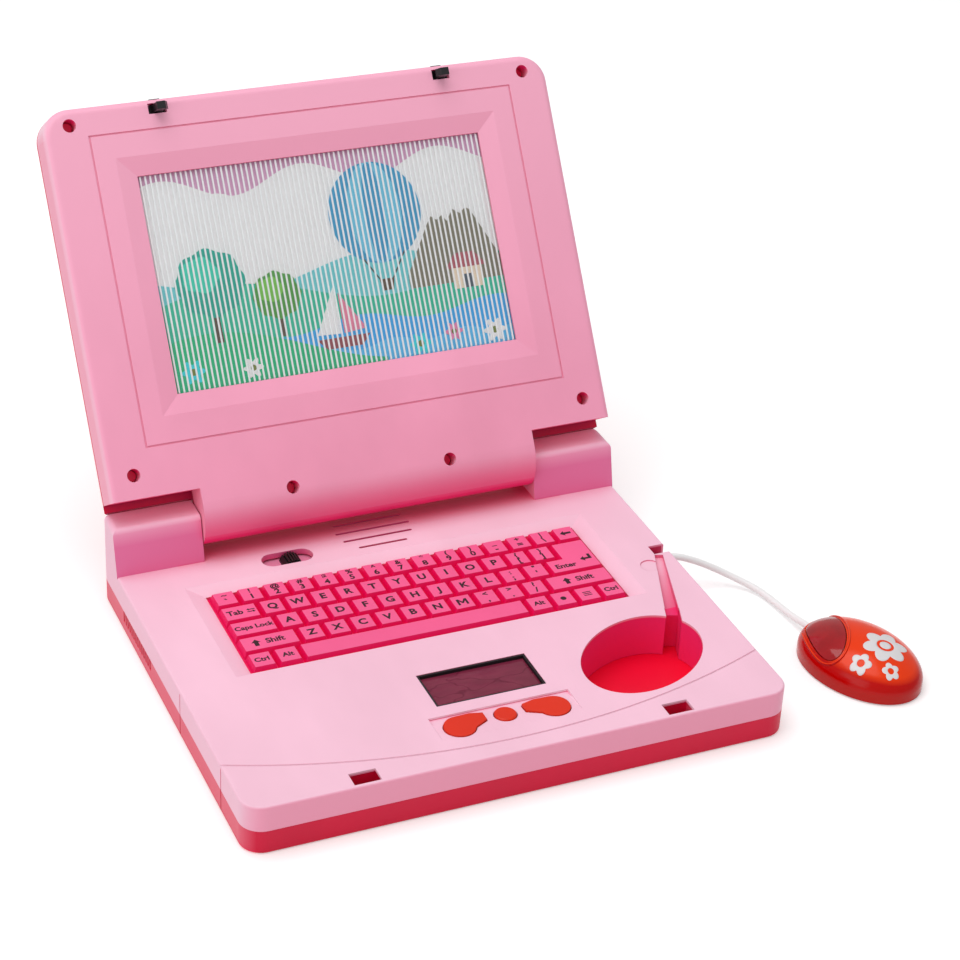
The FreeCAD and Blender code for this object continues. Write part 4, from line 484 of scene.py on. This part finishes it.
def printed(name, rough=0.45):
    # flat ink whose colour is painted on the mesh
    look = Look(name)
    ink = look.node("ShaderNodeAttribute", attribute_name="ink").outputs["Color"]
    dots = look.noise(size_mm=0.5)
    tone = look.node("ShaderNodeMix", data_type="RGBA", blend_type="MULTIPLY")
    tone.inputs["Factor"].default_value = 1.0
    look.join(ink, tone.inputs[MIX_A])
    look.join(look.mix(dots, INK_FADE, WHITE), tone.inputs[MIX_B])
    look.feed("Base Color", tone.outputs[MIX_OUT])
    look.feed("Roughness", look.spread(dots, rough - INK_GLOSS, rough + INK_GLOSS))
    return look


STREAK_HALF = (0.0, 0.018)
STREAK_DEPTH = 0.7
WINDOW_GLOSS = (0.06, 0.16)


def tinted_window(name):
    # thin dark sheet with waves and a few darker streaks
    look = Look(name)
    wave = look.noise(size_mm=9, detail=2.5, stretch=(1.0, 2.4, 1.0))
    streak_noise = look.noise(size_mm=20, stretch=(1.0, 1.8, 1.0))
    off = look.math("ABSOLUTE", look.math("SUBTRACT", streak_noise, 0.5))
    dark_streak = look.ramp(off, *STREAK_HALF, STREAK_DEPTH, 0.0)
    body = look.mix(wave, paint("window_dark"), paint("window_pale"))
    look.feed("Base Color", look.mix(dark_streak, body, paint("window_streak")))
    look.feed("Roughness", look.spread(wave, *WINDOW_GLOSS))
    look.bump(wave, strength=0.25, distance_mm=0.4, edge_mm=0.2)
    return look.set(Specular_IOR_Level=0.35, Alpha=0.92)


LENS_GLOSS = (0.05, 0.14)


def red_lens(name):
    # cloudy clear red, as of thick translucent plastic
    look = Look(name)
    cloud = look.noise(size_mm=7, detail=3.0)
    look.feed("Base Color", look.mix(cloud, paint("lens_dark"), paint("lens_pale")))
    look.feed("Roughness", look.spread(cloud, *LENS_GLOSS))
    look.bump(cloud, strength=0.2, distance_mm=0.5, edge_mm=0.3)
    return look.set(Specular_IOR_Level=0.35, Coat_Weight=0.15, Coat_Roughness=0.04, Alpha=0.93)


LOOKS = {
    "crimson": moulded("crimson_case", colour("DC0A3C"), rough=0.45, tint=crimson_tint,
                       Specular_IOR_Level=0.3),
    # deck and lid are one pink plastic; the deck's paler and the lid's deeper base colours are
    # painted light and shade, the deck's top facing the light more
    "deck": moulded("deck_pink", colour("FBC8DC"), rough=0.45, tint=deck_tint,
                    Specular_IOR_Level=0.35),
    "bezel": moulded("lid_pink", colour("FBA4C2"), rough=0.45, tint=bezel_tint,
                     Specular_IOR_Level=0.35),
    "keys": moulded("key_pink", colour("FA6296"), rough=0.5, grain=0.3, tint=keys_tint,
                    Specular_IOR_Level=0.35),
    "button": moulded("button_red", colour("E22E0E"), rough=0.36, grain=0.4,
                      Specular_IOR_Level=0.3),
    "black": moulded("black_plastic", colour("18161A"), rough=0.4, grain=0.3, depth=0.35),
    "knob": moulded("knob_black", colour("18161A"), rough=0.4, grain=0.3, depth=0.35,
                    tint=knob_tint),
    "frame": moulded("black_frame", colour("0E0C10"), rough=0.5),
    "panel": moulded("panel_grey", colour("6B5560"), rough=0.5),
    "pad": moulded("pad_grey", colour("B9B6B4"), rough=0.6),
    "board": moulded("board_green", colour("1F6B45"), rough=0.5, mottle=0.15),
    "paper": moulded("cone_paper", colour("2B2826"), rough=0.85, grain=0.8, depth=0.6),
    "magnet": moulded("magnet_dark", colour("3A3A3D"), rough=0.6),
    "wrap": moulded("cell_wrap", colour("3C4A5A"), rough=0.3),
    "cord": moulded("cord_white", colour("FDFDFD"), rough=0.45, grain=0.25),
    "card": moulded("card_white", colour("EDEDEF"), rough=0.6),
    "backing": moulded("backing_white", colour("F1F0EE"), rough=0.6),
    "mouse": moulded("mouse_red", colour("F03C0A"), rough=0.18, grain=1.2, depth=0.05, edge=0.4,
                     tint=mouse_tint, Specular_IOR_Level=0.22),
    "mouse_base": moulded("mouse_base_red", colour("B4140C"), rough=0.35),
    "lamp": moulded("lamp_red", colour("D8302A"), rough=0.15, Transmission_Weight=0.4),
    "steel": brushed_metal("screw_steel", colour("9C9A9C")),
    # the lid's screws are steel; their pink colour is a painted reflection of the pink hole walls
    # round them
    "steel_pink_reflection": moulded("screw_steel_painted_reflection", colour("FF1A6A"), rough=0.4,
                          Specular_IOR_Level=0.6),
    "plated": brushed_metal("contact_plate", colour("C9C6BE")),
    "ribbed": ribbed("ribbed_clear"),
    "ink": printed("picture_ink"),
    "window": tinted_window("tinted_window"),
    "lens": red_lens("red_lens"),
    "legend": moulded("legend_ink", colour("2A0A14"), rough=0.6, grain=0.2, depth=0.1, edge=0.0),
    "silver": moulded("silver_ink", colour("E2DEE0"), rough=0.38, grain=0.3, depth=0.1, edge=0.0),
}

NODE_LOOKS = {
    "crimson": ["lower_case", "battery_cover", "lid_cover"],
    "deck": ["upper_deck", "cord_grommet"],
    "bezel": ["lid_bezel", "latch_keepers"],
    "keys": ["keypad"],
    "button": ["left_button", "centre_button", "right_button"],
    "knob": ["power_knob"],
    "black": ["latch_left", "latch_right", "slide_switch", "mouse_switch"],
    "frame": ["display_frame", "speaker_frame"],
    "panel": ["display_panel"],
    "pad": ["button_pad"],
    "board": ["key_board", "control_board", "switch_board", "mouse_board"],
    "paper": ["speaker_cone"],
    "magnet": ["speaker_magnet"],
    "wrap": ["batteries"],
    "card": ["picture_card"],
    "backing": ["card_backing"],
    "mouse": ["mouse_shell"],
    "mouse_base": ["mouse_base"],
    "lamp": ["mouse_lamp"],
    "lens": ["mouse_button"],
    "window": ["display_window"],
    "ribbed": ["ribbed_screen"],
    "steel": ["battery_cover_screw", "case_screws", "hinge_pin_left", "hinge_pin_right",
              "board_screws", "screen_screws", "keeper_screws", "mouse_screw"],
    "steel_pink_reflection": ["lid_screws"],
    "plated": ["battery_contacts", "battery_springs"],
    "cord": ["mouse_cord"],
}
for look_name, node_names in NODE_LOOKS.items():
    for node_name in node_names:
        for place in NODES[node_name].material_slots:
            place.material = LOOKS[look_name].material


# ---- pieces ----

def piece_from(name, mesh, look, body):
    made = link(bpy.data.objects.new(name, mesh))
    mesh.materials.append(LOOKS[look].material)
    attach(made, body)


def mesh_from(name, bm):
    mesh = bpy.data.meshes.new(name)
    bm.to_mesh(mesh)
    bm.free()
    return mesh


def mesh_of(curve):
    # the finished mesh of a curve or text, which is then removed
    made = link(bpy.data.objects.new(curve.name, curve))
    bpy.context.view_layer.update()
    graph = bpy.context.evaluated_depsgraph_get()
    mesh = bpy.data.meshes.new_from_object(made.evaluated_get(graph))
    bpy.data.objects.remove(made)
    bpy.data.curves.remove(curve)
    return mesh


def smooth(mesh):
    for face in mesh.polygons:
        face.use_smooth = True


# the mouse's cord, on the route of its solid in millimetres; length and radius are in metres
CORD_ROUTE = [
    (107.4, 15.55, 17.5), (116.4, 15.55, 17.5), (128.7, 15.2, 12.0), (136.8, 12.6, 8.0),
    (143.6, 8.4, 4.8), (151.2, -0.2, 2.2), (153.8, -12.0, 2.0), (154.2, -26.0, 3.4),
    (156.157, -39.321, 5.5),
]
CORD_RADIUS = 0.0015
CORD_SIDES = 6
CORD_STEPS = 12


def make_cord():
    curve = bpy.data.curves.new("mouse_lead", "CURVE")
    curve.dimensions = "3D"
    curve.bevel_depth = CORD_RADIUS
    curve.bevel_resolution = CORD_SIDES
    curve.use_fill_caps = True
    curve.resolution_u = CORD_STEPS
    spline = curve.splines.new("NURBS")
    spline.points.add(len(CORD_ROUTE) - 1)
    for point, place in zip(spline.points, CORD_ROUTE):
        point.co = (*(v * MM for v in place), 1.0)
    spline.order_u = 3
    spline.use_endpoint_u = True
    cord = link(bpy.data.objects.new("mouse_lead", curve))
    curve.materials.append(LOOKS["cord"].material)
    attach(cord, "base")
    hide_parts("mouse_cord")


make_camera()
make_cord()

# key legends: plain letters, figures and arrows, as on any keyboard; sizes are in millimetres
KEYS_X = 82.4
KEYS_FRONT = -11.3
KEYS_BACK = 46.1
KEY_TOP = 21.9
ROW_COUNT = 5
ROW_KEYS = 15
KEY_UNIT = 2 * KEYS_X / ROW_KEYS
ROW_PITCH = (KEYS_BACK - KEYS_FRONT) / ROW_COUNT
LEGEND_THICK = 0.04
LEGENDS = [
    ["~\n`", "!\n1", "@\n2", "#\n3", "$\n4", "%\n5", "^\n6", "&\n7", "*\n8", "(\n9", ")\n0",
     "_\n-", "+\n=", "|\n\\", "<back>"],
    ["Tab<swap>", *"QWERTYUIOP", "{\n[", "}\n]"],
    ["Caps Lock", *"ASDFGHJKL", ":\n;", "\"\n'"],
    ["<up>Shift", *"ZXCVBN", "<em>", "<\n,", ">\n.", "?\n/", "<up>Shift"],
    ["Ctrl", "Alt", "", "Alt", "<dot>", "<bars>", "Ctrl"],
]
# key widths in units, row by row
ROW_UNITS = [
    [1] * ROW_KEYS,
    [1.5] + [1] * 12,
    [1.8] + [1] * 11,
    [2.3] + [1] * 10 + [2.7],
    [1, 1, 9, 1, 1, 1, 1],
]
# signs, drawn as outlines about their own middle
DOT_RADIUS = 1.3
DOT_POINTS = 16
DOT_ANGLES = [2 * math.pi * i / DOT_POINTS for i in range(DOT_POINTS)]
BAR_HALF = 1.8
BAR_THICK = 0.5
BAR_LOWS = (-1.4, -0.25, 0.9)
SIGNS = {
    "<back>": [[(-2.1, 0), (-0.4, 1.5), (-0.4, 0.6), (2.1, 0.6), (2.1, -0.6), (-0.4, -0.6),
                (-0.4, -1.5)]],
    "<up>": [[(0, 2.0), (1.7, 0.2), (0.8, 0.2), (0.8, -1.9), (-0.8, -1.9), (-0.8, 0.2),
              (-1.7, 0.2)]],
    "<turn>": [[(-2.3, 0), (-0.6, 1.5), (-0.6, 0.55), (1.2, 0.55), (1.2, 2.6), (2.3, 2.6),
                (2.3, -0.55), (-0.6, -0.55), (-0.6, -1.5)]],
    "<swap>": [[(-2.2, 0.95), (-0.9, 2.0), (-0.9, 1.3), (2.2, 1.3), (2.2, 0.6), (-0.9, 0.6),
                (-0.9, -0.1)],
               [(2.2, -0.95), (0.9, 0.1), (0.9, -0.6), (-2.2, -0.6), (-2.2, -1.3), (0.9, -1.3),
                (0.9, -2.0)]],
    "<em>": [[(-2.3, -2.1), (-2.3, 2.1), (-1.25, 2.1), (0, 0.1), (1.25, 2.1), (2.3, 2.1),
              (2.3, -2.1), (1.35, -2.1), (1.35, 0.65), (0.3, -1.0), (-0.3, -1.0),
              (-1.35, 0.65), (-1.35, -2.1)]],
    "<dot>": [[(DOT_RADIUS * math.cos(a), DOT_RADIUS * math.sin(a)) for a in DOT_ANGLES]],
    "<bars>": [[(-BAR_HALF, y), (BAR_HALF, y), (BAR_HALF, y + BAR_THICK),
                (-BAR_HALF, y + BAR_THICK)] for y in BAR_LOWS],
}
# a text's height, and how far its strokes are thickened
TEXT = {
    "letter": (5.3, 0.2),
    "word": (3.8, 0.13),
    "shift": (4.5, 0.14),
    "tab": (4.4, 0.14),
    "enter": (4.3, 0.14),
    "upper": (3.9, 0.14),
    "lower": (4.6, 0.16),
}
TEXT_STEPS = 3
ARROW_SCALE = 1.15
BACK_SCALE = 1.2
SWAP_SCALE = 0.8
# places of a key's parts from its middle, and of the Enter key's from the keyboard's right end
SHIFT_ARROW_X, SHIFT_WORD_X = -5.6, 2.4
TAB_WORD_X, TAB_SIGN_X = -2.4, 4.4
UPPER_Y, LOWER_Y = 2.2, -1.9
ENTER_ROW = 2.5
ENTER_WORD_UNITS, ENTER_WORD_Y = 1.45, -0.6
ENTER_SIGN_UNITS, ENTER_SIGN_Y = 0.5, 2.0


def prism(bm, points, low, high):
    # a closed flat slab from an outline
    lower = [bm.verts.new((x, y, low)) for x, y in points]
    upper = [bm.verts.new((x, y, high)) for x, y in points]
    faces = [bm.faces.new(upper), bm.faces.new(lower[::-1])]
    count = len(points)
    for i in range(count):
        j = (i + 1) % count
        faces.append(bm.faces.new((lower[i], lower[j], upper[j], upper[i])))
    return faces


def add_text(bm, words, style, x, y):
    curve = bpy.data.curves.new("words", "FONT")
    curve.body = words
    curve.size, curve.offset = TEXT[style]
    curve.align_x = "CENTER"
    curve.align_y = "CENTER"
    curve.extrude = LEGEND_THICK / 2
    curve.resolution_u = TEXT_STEPS
    mesh = mesh_of(curve)
    mesh.transform(Matrix.Translation((x, y, KEY_TOP)))
    bm.from_mesh(mesh)
    bpy.data.meshes.remove(mesh)


def add_sign(bm, sign, x, y, scale=1.0):
    for points in SIGNS[sign]:
        moved = [(x + px * scale, y + py * scale) for px, py in points]
        prism(bm, moved, KEY_TOP - LEGEND_THICK / 2, KEY_TOP + LEGEND_THICK / 2)


def add_legend(bm, word, x, y):
    if word.startswith("<up>"):
        add_sign(bm, "<up>", x + SHIFT_ARROW_X, y, ARROW_SCALE)
        add_text(bm, word.removeprefix("<up>"), "shift", x + SHIFT_WORD_X, y)
    elif word.endswith("<swap>"):
        add_text(bm, word.removesuffix("<swap>"), "tab", x + TAB_WORD_X, y)
        add_sign(bm, "<swap>", x + TAB_SIGN_X, y, SWAP_SCALE)
    elif word in SIGNS:
        add_sign(bm, word, x, y, BACK_SCALE if word == "<back>" else 1.0)
    elif "\n" in word:
        upper, lower = word.split("\n")
        add_text(bm, upper, "upper", x, y + UPPER_Y)
        add_text(bm, lower, "lower", x, y + LOWER_Y)
    elif word:
        add_text(bm, word, "letter" if len(word) == 1 else "word", x, y)


def make_legends():
    bm = bmesh.new()
    for row, (units, words) in enumerate(zip(ROW_UNITS, LEGENDS)):
        y = KEYS_BACK - ROW_PITCH * (row + 0.5)
        along = 0.0
        for unit, word in zip(units, words):
            add_legend(bm, word, KEY_UNIT * (along + unit / 2) - KEYS_X, y)
            along += unit
    enter_y = KEYS_BACK - ROW_PITCH * ENTER_ROW
    add_text(bm, "Enter", "enter", KEYS_X - KEY_UNIT * ENTER_WORD_UNITS, enter_y + ENTER_WORD_Y)
    add_sign(bm, "<turn>", KEYS_X - KEY_UNIT * ENTER_SIGN_UNITS, enter_y + ENTER_SIGN_Y,
             ARROW_SCALE)
    bm.transform(Matrix.Scale(MM, 4))
    piece_from("key_legends", mesh_from("key_legends", bm), "legend", "keypad")


make_legends()

# picture behind the ribs: hills, a lake, a balloon and trees in the photograph's range of colours
PICTURE_MARGIN = 1
PICTURE_WIDE = 2 * SCREEN_X + 2 * PICTURE_MARGIN
PICTURE_TALL = SCREEN_HIGH - SCREEN_LOW + 2 * PICTURE_MARGIN
INK_LIFT = 0.004      # the layers' common underside above the card
INK_FIRST = 0.02      # the first layer's top above the card
INK_STEP = 0.006      # how far each next layer's top rises
# the inks are brightened as painted light, making up for the shade that the white stripes cast on
# the card
INK_BRIGHTNESS = 1.4
INKS = {
    "sky": "E4E4E8", "haze": "C494B4", "cloud": "F3F3F5",
    "far_hill": "6CC0C4", "hill": "35B496", "meadow": "22B07C", "lake": "3AA0D8", "bay": "58B2E6",
    "rock": "7C7868", "snow": "F3F3F5",
    "balloon": "3A94BC", "gore": "6CBAD2", "basket": "5C4A3C", "rope": "4A4A4A",
    "trunk": "5A4B42", "tall_leaf": "1FA08E", "tall_shade": "3CC4AC",
    "low_leaf": "4E9444", "low_shade": "74B850",
    "hull": "8E4A52", "sail": "F2F2F2", "jib": "D77F9A",
    "wall": "D9C9B4", "roof": "A85A66", "door": "4F5A66",
    "blue_petal": "33C9D0", "pale_petal": "E9E9F2", "rose_petal": "D77FA8", "heart": "6E7A3A",
}
BLOB_POINTS = 40
HEART_POINTS = 16
HILL_POINTS = 48
# centres and half widths, in millimetres from the picture's lower left corner
CLOUDS = [(28, 74, 19, 8), (44, 69, 14, 6), (128, 58, 20, 8), (142, 64, 15, 8)]
BALLOON = (102, 65)
BALLOON_TALL = 22
GORES = [("balloon", 21), ("gore", 12), ("balloon", 4.5)]
ROPES = [(92, 98.9), (112, 105.1)]
TREES = [(24, 45, 15, "tall_leaf", "tall_shade"), (52, 36, 10.5, "low_leaf", "low_shade")]
FLOWERS = [(10, 9, 4.2, "blue_petal"), (36, 7, 3.6, "pale_petal"), (112, 6, 4.0, "blue_petal"),
           (128, 9, 3.4, "rose_petal"), (147, 7, 4.2, "pale_petal")]
HEART_SHARE = 0.36


def blob(cx, cy, rx, ry, count=BLOB_POINTS, wobble=0.0, waves=5):
    points = []
    for i in range(count):
        a = 2 * math.pi * i / count
        r = 1 + wobble * math.cos(waves * a)
        points.append((cx + rx * r * math.cos(a), cy + ry * r * math.sin(a)))
    return points


def hill(x0, x1, base, level, height, waves, phase):
    # from a straight base up to a wavy line
    points = [(x1, base), (x0, base)]
    for i in range(HILL_POINTS + 1):
        x = x0 + (x1 - x0) * i / HILL_POINTS
        wave = math.sin(waves * 2 * math.pi * i / HILL_POINTS + phase)
        points.append((x, level + height * wave))
    return points[::-1]


def tree_shapes(cx, cy, size_mm, leaf, shade):
    foot = cy - size_mm * 1.7
    crown = blob(cx, cy, size_mm, size_mm * 0.95, wobble=0.05, waves=8)
    light = blob(cx - size_mm * 0.25, cy + size_mm * 0.25, size_mm * 0.55, size_mm * 0.5,
                 wobble=0.07)
    trunk = [(cx - 1.4, foot), (cx + 1.6, foot), (cx + 0.9, cy), (cx - 0.8, cy)]
    return [("trunk", trunk), (leaf, crown), (shade, light)]


def flower_shapes(cx, cy, r, petal):
    heart = r * HEART_SHARE
    return [(petal, blob(cx, cy, r, r, wobble=0.28, waves=6)),
            ("heart", blob(cx, cy, heart, heart, HEART_POINTS))]


def picture_shapes():
    # (ink, outline) in millimetres from the picture's lower left corner, back to front
    wide, tall = PICTURE_WIDE, PICTURE_TALL
    shapes = [
        ("sky", [(0, 0), (wide, 0), (wide, tall), (0, tall)]),
        ("haze", hill(0, wide, tall, tall - 9, 5, 2.5, 0.6)[::-1]),
    ]
    shapes += [("cloud", blob(*cloud, wobble=0.06)) for cloud in CLOUDS]
    shapes += [
        ("far_hill", hill(0, wide, 0, 44, 5, 1.4, 2.4)),
        ("hill", hill(0, wide, 0, 36, 7, 1.1, 0.2)),
        ("lake", hill(18, wide, 0, 20, 2.5, 2.2, 1.0)),
        ("bay", hill(60, wide, 0, 9, 1.5, 3.0, 0.0)),
        ("meadow", hill(0, 96, 0, 13, 11, 0.55, 0.9)),
        ("rock", [(112, 36), (129, 64), (134, 57), (142, 68), (158, 38), (158, 30), (112, 30)]),
        ("snow", [(124.5, 56.6), (129, 64), (132, 59.8), (129.4, 58), (127, 60)]),
        ("snow", [(137.5, 61.8), (142, 68), (146.4, 60), (143.6, 61.8), (140.6, 59.6)]),
    ]
    shapes += [(ink, blob(*BALLOON, half, BALLOON_TALL)) for ink, half in GORES]
    shapes.append(("basket", [(98.6, 36), (105.4, 36), (104.4, 31), (99.6, 31)]))
    shapes += [("rope", [(top, 47), (top + 0.7, 47), (end + 0.4, 36), (end - 0.3, 36)])
               for top, end in ROPES]
    for row in TREES:
        shapes += tree_shapes(*row)
    shapes += [
        ("hull", [(66, 14), (90, 14), (86, 9.5), (70, 9.5)]),
        ("sail", [(77, 15.5), (77, 36), (66.5, 16)]),
        ("jib", [(78.6, 15.5), (89, 16.5), (78.6, 33)]),
        ("wall", [(132, 27), (146, 27), (146, 36), (132, 36)]),
        ("roof", [(129.5, 36), (148.5, 36), (143.5, 42.5), (134.5, 42.5)]),
        ("door", [(137, 27), (141, 27), (141, 33), (137, 33)]),
    ]
    for row in FLOWERS:
        shapes += flower_shapes(*row)
    return shapes


def on_card(x, y):
    # a place of the picture, kept inside its edges, in the lid's frame
    x = min(max(x, 0.0), PICTURE_WIDE)
    y = min(max(y, 0.0), PICTURE_TALL)
    return x - SCREEN_X - PICTURE_MARGIN, y + SCREEN_LOW - PICTURE_MARGIN


def make_picture():
    bm = bmesh.new()
    layer = bm.loops.layers.float_color.new("ink")
    for i, (ink, points) in enumerate(picture_shapes()):
        outline = [on_card(x, y) for x, y in points]
        top = CARD_TOP + INK_FIRST + INK_STEP * i
        for face in prism(bm, outline, CARD_TOP + INK_LIFT, top):
            for loop in face.loops:
                loop[layer] = colour(INKS[ink], INK_BRIGHTNESS)
    bmesh.ops.recalc_face_normals(bm, faces=bm.faces)
    bm.transform(LID @ Matrix.Scale(MM, 4))
    piece_from("screen_picture", mesh_from("screen_picture", bm), "ink", "lid")


make_picture()

# print and rim that follow the mouse's crown, in its own frame and in millimetres
RAY_START = 50
PRINT_LIFT = 0.04
PRINT_HOLE = 0.02
PETAL_DEPTH = 0.34
# a blossom of no petals is a disc
BLOSSOMS = [
    {"cx": -10.0, "cy": -2.5, "size": 9.6, "petals": 6, "hole": 3.6, "rings": 8, "count": 96},
    {"cx": -10.0, "cy": -2.5, "size": 2.4, "petals": 0, "rings": 4, "count": 48},
    {"cx": -10.0, "cy": 12.2, "size": 4.6, "petals": 5, "turn": 0.3, "hole": 1.6, "rings": 5,
     "count": 80},
    {"cx": -20.6, "cy": 5.6, "size": 3.7, "petals": 5, "turn": 1.1, "hole": 1.3, "rings": 5,
     "count": 80},
]
LENS_X, LENS_Y = 15.5, 5.5
LENS_LONG, LENS_HALF = 19.0, 7.1
LENS_TURN = math.radians(-35)
RIM_OUT = 1.5
RIM_RADIUS = 0.55
RIM_SIDES = 3
RIM_FIRST, RIM_SWEEP = 40, 280
RIM_STEPS = 240
RIM_LOWEST = 8.4


def crown_tree():
    mesh = NODES["mouse_shell"].data
    return BVHTree.FromPolygons([v.co.copy() for v in mesh.vertices],
                                [list(p.vertices) for p in mesh.polygons])


CROWN = crown_tree()


def on_crown(x, y, lift):
    # the point of the shell above a place in the mouse's own frame, raised along its normal
    start = MOUSE @ Vector((x * MM, y * MM, RAY_START * MM))
    place, facing, _, _ = CROWN.ray_cast(start, Vector((0, 0, -1)))
    if place is None:
        return None
    return place + facing * lift * MM


def add_blossom(bm, cx, cy, size, petals, rings, count, turn=0.0, hole=PRINT_HOLE):
    # a thin closed patch on the crown, from a round hole out to its petals
    angles = [2 * math.pi * i / count for i in range(count)]
    top, low = [], []
    for k in range(rings + 1):
        for lift, rows in ((PRINT_LIFT, top), (-PRINT_LIFT, low)):
            row = []
            for a in angles:
                lobe = abs(math.cos(petals * a / 2 + turn))
                edge = size * (1 - PETAL_DEPTH + PETAL_DEPTH * lobe)
                r = hole + (edge - hole) * k / rings
                spot = on_crown(cx + r * math.cos(a), cy + r * math.sin(a), lift)
                row.append(bm.verts.new(spot))
            rows.append(row)
    for i in range(count):
        j = (i + 1) % count
        for k in range(rings):
            bm.faces.new((top[k][i], top[k + 1][i], top[k + 1][j], top[k][j]))
            bm.faces.new((low[k][j], low[k + 1][j], low[k + 1][i], low[k][i]))
        bm.faces.new((top[0][j], low[0][j], low[0][i], top[0][i]))
        bm.faces.new((top[-1][i], low[-1][i], low[-1][j], top[-1][j]))


def make_mouse_print():
    bm = bmesh.new()
    for blossom in BLOSSOMS:
        add_blossom(bm, **blossom)
    bmesh.ops.recalc_face_normals(bm, faces=bm.faces)
    mesh = mesh_from("mouse_print", bm)
    smooth(mesh)
    piece_from("mouse_print", mesh, "silver", "mouse")


def make_lens_rim():
    # raised bead round the press button, as far as the shell reaches
    places = []
    for i in range(RIM_STEPS + 1):
        a = math.radians(RIM_FIRST + RIM_SWEEP * i / RIM_STEPS)
        px = (LENS_LONG + RIM_OUT) * math.cos(a)
        py = (LENS_HALF + RIM_OUT) * math.sin(a)
        x = LENS_X + px * math.cos(LENS_TURN) - py * math.sin(LENS_TURN)
        y = LENS_Y + px * math.sin(LENS_TURN) + py * math.cos(LENS_TURN)
        spot = on_crown(x, y, 0.0)
        if spot is not None and spot.z > RIM_LOWEST * MM:
            places.append(spot)
    curve = bpy.data.curves.new("rim", "CURVE")
    curve.dimensions = "3D"
    curve.bevel_depth = RIM_RADIUS * MM
    curve.bevel_resolution = RIM_SIDES
    curve.use_fill_caps = True
    spline = curve.splines.new("POLY")
    spline.points.add(len(places) - 1)
    for point, place in zip(spline.points, places):
        point.co = (*place, 1.0)
    mesh = mesh_of(curve)
    mesh.name = "mouse_lens_rim"
    smooth(mesh)
    piece_from("mouse_lens_rim", mesh, "mouse", "mouse")


make_mouse_print()
make_lens_rim()


# ---- stage: pale floor, soft light ----

FLOOR_HALF = 6.0
FLOOR_DROP = -0.00005
FLOOR_TONES = ((0.88, 0.88, 0.88, 1.0), (0.9, 0.9, 0.9, 1.0))
FLOOR_GLOW = 0.32
HAZE_SIZE = 900
AMBIENT = 0.5
BACKDROP = 1.0
# name, place, aim, size in metres, power
LIGHTS = [
    ("key", (-0.25, 0.15, 1.5), (0.03, 0.0, 0.05), 1.2, 11.5),
    ("fill_left", (-1.5, -0.7, 0.8), (0.0, 0.0, 0.1), 1.2, 5.5),
]


def make_floor():
    bm = bmesh.new()
    bmesh.ops.create_grid(bm, x_segments=2, y_segments=2, size=FLOOR_HALF)
    mesh = mesh_from("floor", bm)
    floor = link(bpy.data.objects.new("floor", mesh))
    floor.location.z = FLOOR_DROP
    look = Look("floor_white")
    look.set(Roughness=0.9, Specular_IOR_Level=0.1, Emission_Color=WHITE)
    look.feed("Base Color", look.mix(look.noise(HAZE_SIZE, detail=1.0), *FLOOR_TONES))
    path = look.node("ShaderNodeLightPath").outputs
    seen = look.math("MAXIMUM", path["Is Camera Ray"], path["Is Glossy Ray"])
    seen = look.math("MAXIMUM", seen, path["Is Transmission Ray"])
    look.feed("Emission Strength", look.math("MULTIPLY", seen, FLOOR_GLOW))
    mesh.materials.append(look.material)


def make_world():
    world = bpy.data.worlds.new("studio")
    world.use_nodes = True
    tree = world.node_tree
    tree.nodes.clear()
    both = tree.nodes.new("ShaderNodeMixShader")
    path = tree.nodes.new("ShaderNodeLightPath").outputs
    tree.links.new(path["Is Camera Ray"], both.inputs[0])
    # first what lights the part, then what the camera sees
    for place, strength in ((1, AMBIENT), (2, BACKDROP)):
        sky = tree.nodes.new("ShaderNodeBackground")
        sky.inputs["Color"].default_value = WHITE
        sky.inputs["Strength"].default_value = strength
        tree.links.new(sky.outputs[0], both.inputs[place])
    out = tree.nodes.new("ShaderNodeOutputWorld")
    tree.links.new(both.outputs[0], out.inputs["Surface"])
    bpy.context.scene.world = world


def area_light(name, place, aim, size_m, power):
    data = bpy.data.lights.new(name, "AREA")
    data.shape = "SQUARE"
    data.size = size_m
    data.energy = power
    lamp = link(bpy.data.objects.new(name, data))
    lamp.location = place
    ahead = Vector(aim) - Vector(place)
    lamp.rotation_euler = ahead.to_track_quat("-Z", "Y").to_euler()


make_floor()
make_world()
for row in LIGHTS:
    area_light(*row)
bpy.context.scene.view_settings.view_transform = "Standard"
